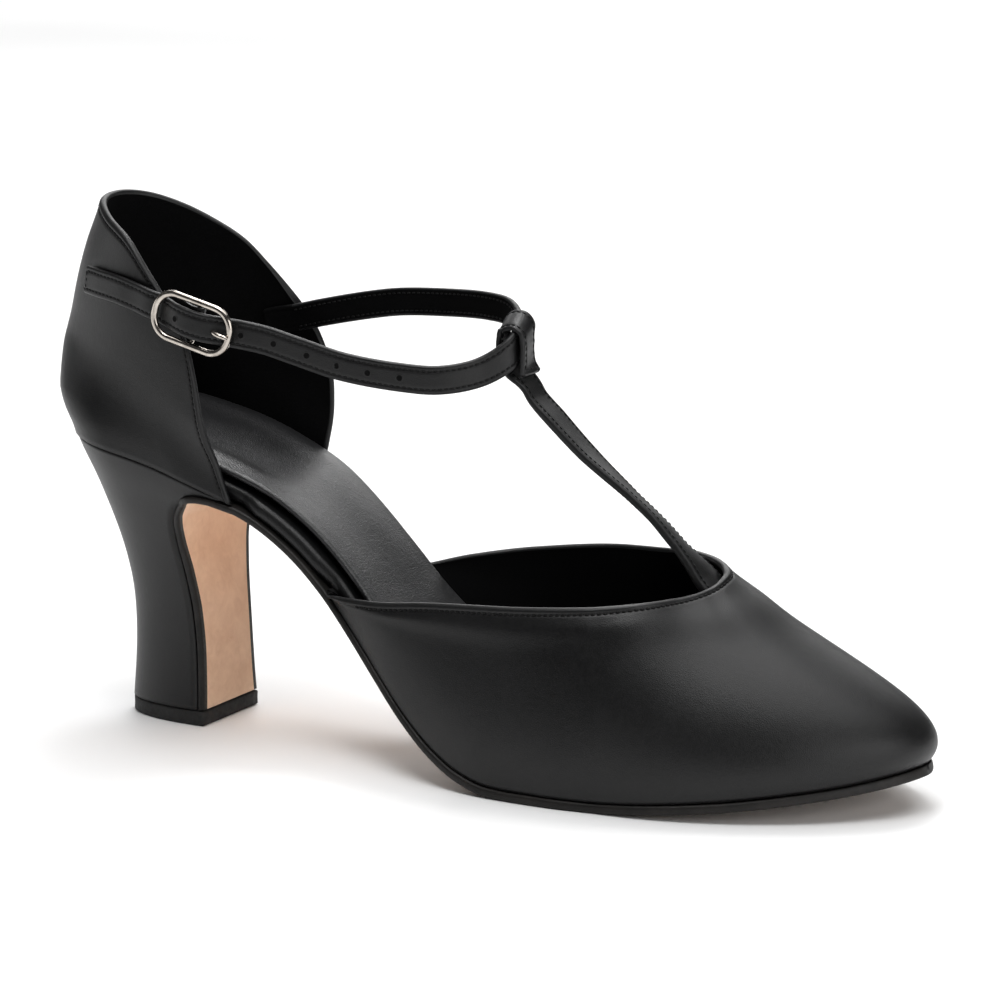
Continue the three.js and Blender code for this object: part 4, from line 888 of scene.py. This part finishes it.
# Camera, from the photograph's fitted viewpoint.
def place_camera():
    azimuth, elevation, roll = (math.radians(angle) for angle in (26.86, 11.46, 0.63))
    back = Vector((
        math.sin(azimuth) * math.cos(elevation),
        -math.cos(azimuth) * math.cos(elevation),
        math.sin(elevation),
    ))
    right = Vector((math.cos(azimuth), math.sin(azimuth), 0))
    upward = back.cross(right)
    turned = right * math.cos(roll) + upward * math.sin(roll)
    raised = upward * math.cos(roll) - right * math.sin(roll)
    away, pixels_per_mm, picture = 1093, 4.143, 1000
    centre = Vector((115 + float(OFFSET_X), 0, 68))
    place = (centre + back * away + turned * 6.3 - raised * 5.8) * 0.001
    data = bpy.data.cameras.new("camera")
    data.sensor_width = 36
    data.lens = data.sensor_width * pixels_per_mm * away / picture
    camera = placed("camera", data)
    camera.matrix_world = Matrix((
        (turned.x, raised.x, back.x, place.x),
        (turned.y, raised.y, back.y, place.y),
        (turned.z, raised.z, back.z, place.z),
        (0, 0, 0, 1),
    ))
    data.clip_start = 0.01
    data.clip_end = 60
    bpy.context.scene.camera = camera


place_camera()


# Floor and light.
def stage_floor():
    data = bpy.data.meshes.new("floor")
    count = 24
    xs = np.linspace(-7, 7, count)
    grid = np.stack([*np.meshgrid(xs, xs, indexing="ij"), np.zeros((count, count))], -1).reshape(-1, 3)
    data.from_pydata(grid.tolist(), [], grid_faces(count, count)[:, ::-1].tolist())
    data.materials.append(plain("floor_white", [(3, 2)] * 2, (0.90, 0.90, 0.90), (0.93, 0.93, 0.93),
                                (0.55, 0.65), [], Specular_IOR_Level=0.2))
    floor = placed("floor", data)


def area_light(name, place, aim, size, size_y, power):
    data = bpy.data.lights.new(name, "AREA")
    data.shape = "RECTANGLE"
    data.size = size
    data.size_y = size_y
    data.energy = power
    light = placed(name, data)
    light.location = place
    aimed(light, Vector(aim) - Vector(place))


def light_up():
    world = bpy.data.worlds.new("studio")
    bpy.context.scene.world = world
    world.use_nodes = True
    background = world.node_tree.nodes["Background"]
    background.inputs["Color"].default_value = (1, 1, 1, 1)
    background.inputs["Strength"].default_value = 0.06
    sun = bpy.data.lights.new("sky", "SUN")
    sun.energy = 1.8
    sun.angle = math.radians(65)
    aimed(placed("sky", sun), Vector((-0.10, -0.05, -1.0)))
    area_light("rear", (-0.55, 1.25, 0.70), (0.05, 0, 0.05), 1.2, 0.6, 4.6)
    area_light("top", (0.05, -0.35, 1.15), (0.06, 0, 0.05), 0.4, 0.4, 4.0)
    area_light("over", (-0.12, 0.50, 1.05), (0.08, 0, 0.05), 0.4, 0.4, 5.5)
    area_light("left", (-1.1, -0.30, 0.16), (0.0, 0, 0.06), 0.7, 0.30, 0.8)
    area_light("right", (1.15, -0.35, 0.38), (0.0, 0, 0.05), 1.1, 0.7, 5.4)
    area_light("backdrop", (-1.0, 2.4, 1.0), (-1.0, 2.4, 0), 2.6, 1.7, 19)
    bpy.context.scene.view_settings.view_transform = "Standard"
    bpy.context.scene.view_settings.look = "None"


stage_floor()
light_up()


# Heel block and its tip. The passes take the kinks out of the block between its rows.
SMOOTHING = 26


def heel_cover():
    levels = np.linspace(0, 1, 64)
    arc = np.linspace(0, math.pi / 2, 33)
    outer = heel_point(levels[:, None], arc[None, ::-1], -1)
    inner = heel_point(levels[:, None], arc[None, 1:], 1)
    rings = np.concatenate([outer, inner], 1)
    for _ in range(SMOOTHING):
        rings[1:-1] = rings[1:-1] / 2 + (rings[2:] + rings[:-2]) / 4
    breast = mix(rings[:, -1:], rings[:, :1], np.linspace(0, 1, 9)[None, 1:-1, None])
    rings = np.concatenate([rings, breast], 1)
    faces = ring_faces(*rings.shape[:2])
    return add_mesh("heel_cover", rings.reshape(-1, 3), faces, None, [COVER], "cover_leather", ["heel"],
                    merge=MERGE)


heel_cover()


def heel_tip():
    arc = np.linspace(0, math.pi / 2, 41)
    flat = np.concatenate([
        heel_point(0.0, arc[::-1], -1, TIP_FRONT, 0)[:, :2],
        heel_point(0.0, arc[1:], 1, TIP_FRONT, 0)[:, :2],
    ])
    front = mix(flat[-1:], flat[:1], np.linspace(0, 1, 11)[1:-1, None])
    flat = np.concatenate([flat, front])
    centre = flat.mean(0)
    rings = []
    for level, inset in ((0, 0.7), (0.03, 0.25), (0.1, 0.0), (0.5, 0.05), (0.9, 0.0), (0.97, 0.15), (1.0, 0.4)):
        drawn = centre + (flat - centre) * (1 - inset / (HEEL_BASE_WIDTH / 2))
        rings.append(np.concatenate([drawn, np.full((len(flat), 1), level * TIP_THICKNESS)], 1))
    faces = ring_faces(len(rings), len(flat))
    return add_mesh("heel_top_piece", np.concatenate(rings), faces, None, [RUBBER], "tip_rubber", ["heel_tip"])


heel_tip()

# Outsole: tan leather with painted edges.
SOLE_THICK = table("along thick", [
    (0.0, WAIST_SOLE), (0.45, WAIST_SOLE), (0.62, FOREFOOT_SOLE), (1.0, FOREFOOT_SOLE),
])
sole_thickness = curve(SOLE_THICK, "along", "thick", SHOE_LENGTH)
SOLE_OUT = table("along out", [(0.24, 0), (0.30, 0.5), (0.55, 1), (1.0, 1)])
sole_margin_at = curve(SOLE_OUT, "along", "out", SHOE_LENGTH, SOLE_MARGIN)
SOLE_EDGE = np.array([0, 0.05, 0.2, 0.45, 0.8, 1.3, 1.9, 2.0])


def outsole():
    levels = np.concatenate([np.linspace(0, 0.8, 40), np.linspace(0.8, 0.985, 30)[1:]])
    xs = heel_front(levels)
    zs = mix(HEEL_FOOT, bottom_at(xs) - CLEARANCE, levels)
    lateral = heel_point(levels, math.pi / 2, -1)[:, 1]
    medial = heel_point(levels, math.pi / 2, 1)[:, 1]
    edge = inset_plan(-SOLE_MARGIN)
    shank = stations(float(heel_front(1)) + 4, TOE_TIP + SOLE_MARGIN - 0.02, 150, False)
    back = SOLE_MARGIN - sole_margin_at(shank)
    flap = np.concatenate([np.full(len(xs), CLEARANCE), np.zeros(len(shank))])
    thick = np.concatenate([np.full(len(xs), WAIST_SOLE), sole_thickness(shank)])
    x = np.concatenate([xs, shank])
    z = np.concatenate([zs, bottom_at(shank) - CLEARANCE])
    lat = np.concatenate([lateral, edge(shank, -1) + back])
    med = np.concatenate([medial, edge(shank, 1) - back])
    line = np.stack([x, z], -1)
    run = headings(line)
    nx, nz = run[:, 1], -run[:, 0]
    width = (med - lat)[:, None]
    scale = np.minimum(1, width / 9)
    first = SOLE_EDGE * scale
    columns = spread(first, width - first[:, ::-1], 12)
    near = np.minimum(columns, width - columns) / scale
    half = thick[:, None] / 2
    body = half * (0.25 + 0.75 * rim(np.maximum(near, 0), 0.7))
    middle = flap[:, None] + half
    y = lat[:, None] + columns

    def skin(offset):
        return np.stack([x[:, None] + nx[:, None] * offset, y, z[:, None] + nz[:, None] * offset], -1)

    under = skin(middle + body)
    over = skin(middle - body)
    painted = np.minimum(near[:-1, :-1], near[1:, 1:]) < 1.85
    return two_skins("outsole_leather", under, over, [SUEDE, EDGE], np.where(painted, 1, 0), 1, 1,
                     "sole_leather", ["outsole"])


outsole()

# Insole board wrapped in leather, with a rounded rim, and the padded sock on it.
BOARD = table("along inset", [
    (0, 1), (0.15, 1.1), (0.2, 1.35), (0.262, 1.35), (0.285, 0.3), (0.35, 0.3), (0.372, 1), (1, 1),
])
BOARD_INSET = UPPER_WALL + CLEARANCE
board_inset_at = curve(BOARD, "along", "inset", SHOE_LENGTH, BOARD_INSET)
ROUND_STEPS = np.array([0, 0.04, 0.16, 0.35, 0.6, 0.95, 1.35, 1.8, 2.6])


def bottom_strip(name, xs, lateral, medial, low, high, cup, radius, material, slot, stands_for, shape=None):
    """A strip that follows the last's bottom between two distances, with rounded borders."""
    slope = (bottom_at(xs + 0.05) - bottom_at(xs - 0.05)) / 0.1
    size = np.hypot(slope, 1)
    nx, nz = (-slope / size)[:, None], (1 / size)[:, None]
    width = (medial - lateral)[:, None]
    first = ROUND_STEPS * np.minimum(1, width / (3 * ROUND_STEPS[-1]))
    columns = spread(first, width - first[:, ::-1], 26)
    near = np.minimum(columns, width - columns)
    share = columns / width
    ends = np.minimum(xs - xs[0], xs[-1] - xs)[:, None] + 0.02
    thin = rim(near, radius) * rim(ends, radius)
    half = (high - low) / 2
    lift = cup * (2 * share - 1) ** 2
    extra = shape(xs[:, None], share, near) if shape else 0.0
    y = lateral[:, None] + columns
    middle = (high + low) / 2 + lift

    def skin(rise):
        return np.stack([xs[:, None] + nx * rise, y, bottom_at(xs)[:, None] + nz * rise], -1)

    return two_skins(name, skin(middle + half * thin + extra), skin(middle - half * thin), [material], 0, 0, 0,
                     slot, stands_for)


def insole_board():
    plan = inset_plan(BOARD_INSET)
    xs = np.unique(np.concatenate([
        stations(SEAT_BACK + BOARD_INSET + 0.06, TOE_TIP - BOARD_INSET - 0.06, 150),
        BOARD["along"][1:-1] * SHOE_LENGTH,
    ]))
    free = BOARD_INSET - board_inset_at(xs)
    return bottom_strip("board_wrap", xs, plan(xs, -1) - free, plan(xs, 1) + free, 0.0, BOARD_THICKNESS, 0.0,
                        1.5, COVER, "cover_leather", ["insole_board"])


insole_board()


def insole_sock():
    inset = BOARD_INSET + SOCK_INSET
    plan = inset_plan(inset)
    low = BOARD_THICKNESS + CLEARANCE
    xs = stations(SEAT_BACK + inset + 0.06, TOE_TIP - inset - 0.06, 170)

    def shape(x, share, near):
        seat = ease((0.30 * SHOE_LENGTH - x) / 20) * ease((x - 14) / 14)
        ridge = 0.9 * seat * swell(near, 6.0, 3.2)
        waist = swell(x, 0.38 * SHOE_LENGTH, 0.10 * SHOE_LENGTH)
        ripple = 0.12 * np.sin(x / 5.3 + 4 * share) * np.sin(share * 9 + x / 17)
        puff = 0.45 * (1 - swell(near, 0, 4.0))
        return (ridge + puff + 0.35 * waist * swell(share, 0.72, 0.16) + ripple * 0.5) * rim(near, 3.0)

    piece = bottom_strip("sock_pad", xs, plan(xs, -1), plan(xs, 1), low, low + SOCK_THICKNESS, SOCK_CUP,
                         1.2, SOCK, "sock_leather", ["insole_sock"], shape)
    return piece


insole_sock()


# Upper leathers.
def soft_quarter(u, v, outer):
    """Slight waves, and a wider one around the middle of the height."""
    return 0.10 * np.sin(v * 23 + 3 * u) * np.sin(u * 7 + v * 5) + 0.12 * swell(u, 0.42, 0.12) * np.sin(v * 9)


def soft_vamp(u, v, outer):
    """A soft pillow below the seam, a trough across the toes, faint waves along the sides."""
    waves = 0.10 * np.sin(v * 31 + 4 * u) * np.sin(u * 6 + v * 7)
    flex = -0.28 * swell(outer[..., 0], 0.70 * SHOE_LENGTH, 3.2) * ease((u - 0.25) / 0.5)
    pillow = 0.5 * swell(u, 0.86, 0.07)
    return waves + flex + pillow


quarter_skin = folded_shell("quarter_leather", quarter_surface, 1, 40, 170, True, ["quarter"], soft_quarter)
vamp_skin = folded_shell("vamp_leather", vamp_surface, -1, 40, 240, False, ["vamp"], soft_vamp)


def seam_row(skin, *place):
    """A row of points and normals on a folded upper."""
    return tuple(part[place] for part in skin)


SEAM = int(np.argmin(np.abs(EDGE_STEPS - SEAM_IN)))
up_side = slice(2, -SEAM)
stitches("quarter_stitches", [
    seam_row(quarter_skin, up_side, SEAM),
    seam_row(quarter_skin, -1 - SEAM, slice(SEAM, -SEAM)),
    seam_row(quarter_skin, slice(-1 - SEAM, 1, -1), -1 - SEAM),
])
stitches("vamp_stitches", [seam_row(vamp_skin, -1 - SEAM, slice(7, -7))])

# Ankle strap.
ankle_knots = strap_knots()
ankle_line = Line(ankle_knots)
front_knot = ankle_knots[len(STRAP_END["along"]) + len(STRAP_BUCKLE["toToe"]) + STRAP_FRONT][0]


def flat_width(half):
    return lambda share: np.full(np.shape(share), half)


def tucked_share():
    """Where the strap passes behind the front edge of the inner quarter."""
    shares = np.linspace(0.5, 1, 2000)
    point = ankle_line.frames(shares)[0]
    return float(shares[np.argmax((point[:, 1] > 0) & (point[:, 0] < 0.226 * SHOE_LENGTH))])


TUCKED = tucked_share()


def strap_top(share):
    """The strap is pushed up a little where the loop of the T-strap gathers it."""
    middle = ankle_line.share[np.argmin(np.linalg.norm(ankle_line.at(ankle_line.t) - front_knot, axis=1))]
    return STRAP_WIDTH / 2 + 1.7 * swell(share, middle, 4.0 / ankle_line.length)


strap_piece("ankle_strap_leather", ankle_line, flat_width(-STRAP_WIDTH / 2), strap_top,
            flat_width(STRAP_THICKNESS), ["ankle_strap"], 620, lined=1, tucked=TUCKED)


def strap_seams(line, low, high, thickness, crown=None, start=1.4, end=1.4, close=0):
    """Sewn rows near both edges, on both faces, and across the end that is named by close (0 or -1)."""
    shares = np.linspace(start / line.length, 1 - end / line.length, int(line.length * 2))
    point, _, across, out = line.frames(shares)
    rows = []
    for face in (1, -1):
        lift = thickness(shares) / 2 - 0.03
        edges = []
        for at in (low(shares) + STRAP_SEAM, high(shares) - STRAP_SEAM):
            share = (at - low(shares)) / (high(shares) - low(shares))
            bow = crown(shares) * (1 - (2 * share - 1) ** 2) if crown else 0.0
            edges.append((point + across * at[:, None] + out * (lift * face + bow)[:, None], out * face))
        a, b = edges[0][0][close], edges[1][0][close]
        rows += edges + [(mix(a, b, np.linspace(0, 1, 8)[:, None]), np.repeat(edges[0][1][close][None], 8, 0))]
    return rows


stitches("ankle_strap_stitches",
         strap_seams(ankle_line, flat_width(-STRAP_WIDTH / 2), strap_top,
                     flat_width(STRAP_THICKNESS), end=(1 - TUCKED) * ankle_line.length),
         radius=0.22, lift=0.0)

# T-strap.
THROAT_SHARE = 0.5
THROAT = table("down roll", [
    (0.8, 4), (0.86, 4), (0.92, 3),
])
INSTEP = table("along sag roll", [
    (0.028, -0.0555, 2), (0.093, -0.0515, -10), (0.168, -0.051, -20), (0.275, -0.048, -22),
    (0.3943, -0.0565, -20), (0.587, -0.074, -6), (0.756, -0.0755, 0), (0.8383, -0.074, 4),
    (0.8785, -0.0648, 9), (0.9085, -0.0633, 13),
])
LOOP = table("side up", [
    (-0.6, -0.771), (-1.25, -0.386), (-1.57, -0.029), (-1.65, 0.343), (-1.52, 0.65), (-0.84, 0.829),
    (0.02, 0.814), (0.64, 0.59), (0.82, 0.143), (0.84, -0.286), (0.92, -0.614), (1.08, -0.8), (1.31, -0.964),
])
LOOP_TURN = (0.14, 26)


def rolled_by(degrees, forward):
    roll = math.radians(degrees)
    return unit(np.array([forward, math.cos(roll), math.sin(roll)]))


def instep_knots():
    throat = np.array([float(column(THROAT_SHARE)) for column in vamp_top])
    chord = front_knot - throat
    over = -unit(np.cross(chord, [0, 1, 0]))
    lift = UPPER_WALL + CLEARANCE + INSTEP_THICKNESS / 2 + 2 * THROAT_CROWN
    knots = []
    for row in rows_of(THROAT):
        here = vamp_surface(row["down"], THROAT_SHARE)
        run = vamp_surface(row["down"] + 0.01, THROAT_SHARE) - here
        inward = unit(np.array([run[2], 0, -run[0]]))
        knots.append((here - inward * np.sign(inward[2]) * lift, rolled_by(row["roll"], 0)))
    for row in rows_of(INSTEP):
        point = throat + chord * row["along"] + over * row["sag"] * np.linalg.norm(chord)
        knots.append((point, rolled_by(row["roll"], 0)))
    rolled = rolled_by(LOOP_TURN[1], -LOOP_TURN[0])
    reach = STRAP_THICKNESS / 2 + CLEARANCE + LOOP_THICKNESS / 2 + LOOP_SLACK
    for row in rows_of(LOOP):
        knots.append((front_knot + np.array([row["side"] * reach, 0, row["up"] * STRAP_WIDTH]), rolled))
    return knots


instep_line = Line(instep_knots())
INSTEP_SHAPE = table("along throat", [(0.0, 1), (0.16, 1), (0.26, 0.6), (0.42, 0.1), (0.60, 0), (1.0, 0)])
instep_widths = curve(INSTEP_SHAPE, "along", "throat")


def loop_narrow(share):
    return ease((share - 0.62) / 0.1)


def instep_half(share):
    return mix(mix(INSTEP_WIDTH, THROAT_WIDTH, instep_widths(share)), LOOP_WIDTH, loop_narrow(share)) / 2


def instep_low(share):
    return -instep_half(share)


def instep_thick(share):
    return mix(INSTEP_THICKNESS, LOOP_THICKNESS, loop_narrow(share))


def instep_crown(share):
    return -THROAT_CROWN * instep_widths(share)


strap_piece("t_strap_leather", instep_line, instep_low, instep_half, instep_thick, ["t_strap"], 360,
            instep_crown)
stitches("t_strap_stitches",
         strap_seams(instep_line, instep_low, instep_half, instep_thick, instep_crown, start=8.0, close=-1),
         radius=0.21, lift=0.02)


# Buckle: frame with its bar, and the prong.
def frame_loop():
    length, height = BUCKLE_LENGTH - WIRE, BUCKLE_HEIGHT - WIRE
    points = []
    for sx, sy, start in ((1, 1, 0), (-1, 1, 90), (-1, -1, 180), (1, -1, 270)):
        for share in np.linspace(0, 1, 15):
            turn = math.radians(start + 90 * share)
            to_toe = sx * (length / 2 - BUCKLE_CORNER) + BUCKLE_CORNER * math.cos(turn)
            upward = sy * (height / 2 - BUCKLE_CORNER) + BUCKLE_CORNER * math.sin(turn)
            points.append((to_toe, upward))
    points = np.array(points + points[:1])
    lengths = travelled(points)
    flat = follow(points, lengths, np.linspace(0, lengths[-1], 121)[:-1])
    return np.array([buckle_at(to_toe, FRAME_LIFT, upward) for to_toe, upward in flat])


BAR = table("upward drop", [
    (-0.5, 0), (-0.488, 0.45), (-0.445, 0.88), (-0.38, 1), (0.38, 1), (0.445, 0.88), (0.488, 0.45), (0.5, 0),
])
PRONG_ROWS = table("toToe rise", [
    (0.078, 0.13), (0.12, 0.07), (0.169, 0.12), (0.213, 0.29), (0.253, 0.54), (0.302, 0.86), (0.364, 1),
    (0.43, 1), (0.487, 1),
])
across_buckle = buckle_at(0, 0, 1) - BUCKLE_ORIGIN
along_buckle = buckle_at(1, 0, 0) - BUCKLE_ORIGIN


def wire_piece(name, parts, stands_for):
    return add_mesh(name, *joined(parts), None, [NICKEL], "buckle_metal", stands_for)


def buckle():
    bar = Line([(buckle_at(0, mix(FRAME_LIFT, BAR_LIFT, row["drop"]), row["upward"] * (BUCKLE_HEIGHT - WIRE)),
                 along_buckle) for row in rows_of(BAR)])
    bar_points = bar.frames(np.linspace(0, 1, 60))[0]
    wire_piece("buckle_frame_nickel", [
        tube(frame_loop(), WIRE / 2 + 0.1, np.array([0.0, -1.0, 0.0]), 18, True, flat=0.92),
        tube(bar_points, WIRE / 2 * 0.8, along_buckle, 16),
    ], ["buckle_frame"])
    tip = FRAME_LIFT + WIRE / 2 + CLEARANCE + PRONG / 2
    hook = WIRE / 2 + CLEARANCE + PRONG / 2
    knots = []
    for angle in (180, 150, 120, 90, 60, 32):
        turn = math.radians(angle)
        knots.append((buckle_at(hook * math.cos(turn), BAR_LIFT + hook * math.sin(turn), 0), across_buckle))
    for row in rows_of(PRONG_ROWS):
        knots.append((buckle_at(row["toToe"] * BUCKLE_LENGTH, mix(BAR_LIFT, tip, row["rise"]), 0), across_buckle))
    line = Line(knots)
    shares = np.linspace(0, 1, 90)
    radii = 1.2 * PRONG / 2 * np.minimum(1, 0.45 + 0.55 * rim((1 - shares) * line.length, 1.2))
    wire_piece("buckle_prong_nickel", [tube(line.frames(shares)[0], radii, across_buckle, 14)], ["buckle_prong"])


buckle()

# The tab that carries the buckle keeps its solid.
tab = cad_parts["buckle_tab"]
tab.data.materials.clear()
tab.data.materials.append(LEATHER)
for polygon in tab.data.polygons:
    polygon.use_smooth = False


# Punched holes in the strap: a shallow cup with a pressed rim, whose middle disc is painted shade standing for the
# hole's shaded inside.
def strap_share_at(x):
    """The share of the ankle strap's length where its outer run passes a place along the shoe."""
    shares = np.linspace(0, 0.55, 2200)
    point = ankle_line.frames(shares)[0]
    return float(np.interp(x, point[:, 0], shares))


# Where the holes are along the shoe, and the rings of a cup: radius and height.
HOLE_PLACES = (50.5, 67.0, 75.0, 83.0, 90.0, 97.5, 105.0)
HOLE_RINGS = ((0.0001, 0.012), (0.70, 0.012), (0.76, 0.06), (0.90, 0.05), (1.06, -0.03))
HOLE_SIDES = 24


def punched_holes():
    turn = np.linspace(0, 2 * math.pi, HOLE_SIDES + 1)[:, None]
    parts = []
    for x in HOLE_PLACES:
        point, direction, across, out = (part[0] for part in ankle_line.frames(np.array([strap_share_at(x)])))
        for face in (1, -1):
            centre = point + out * face * (STRAP_THICKNESS / 2 + 0.07)
            rings = [centre + (direction * np.cos(turn) + across * np.sin(turn)) * radius + out * face * height
                     for radius, height in HOLE_RINGS]
            parts.append((np.concatenate(rings), grid_faces(len(HOLE_RINGS), HOLE_SIDES + 1)))
    # The middle disc of each cup wears the painted shade; the rim rings wear the leather.
    indices = np.tile(np.repeat([1, 0, 0, 0], HOLE_SIDES), len(parts))
    return add_mesh("strap_holes", *joined(parts), indices, [LEATHER, HOLE_SHADE], "upper_leather", merge=0.001)


punched_holes()
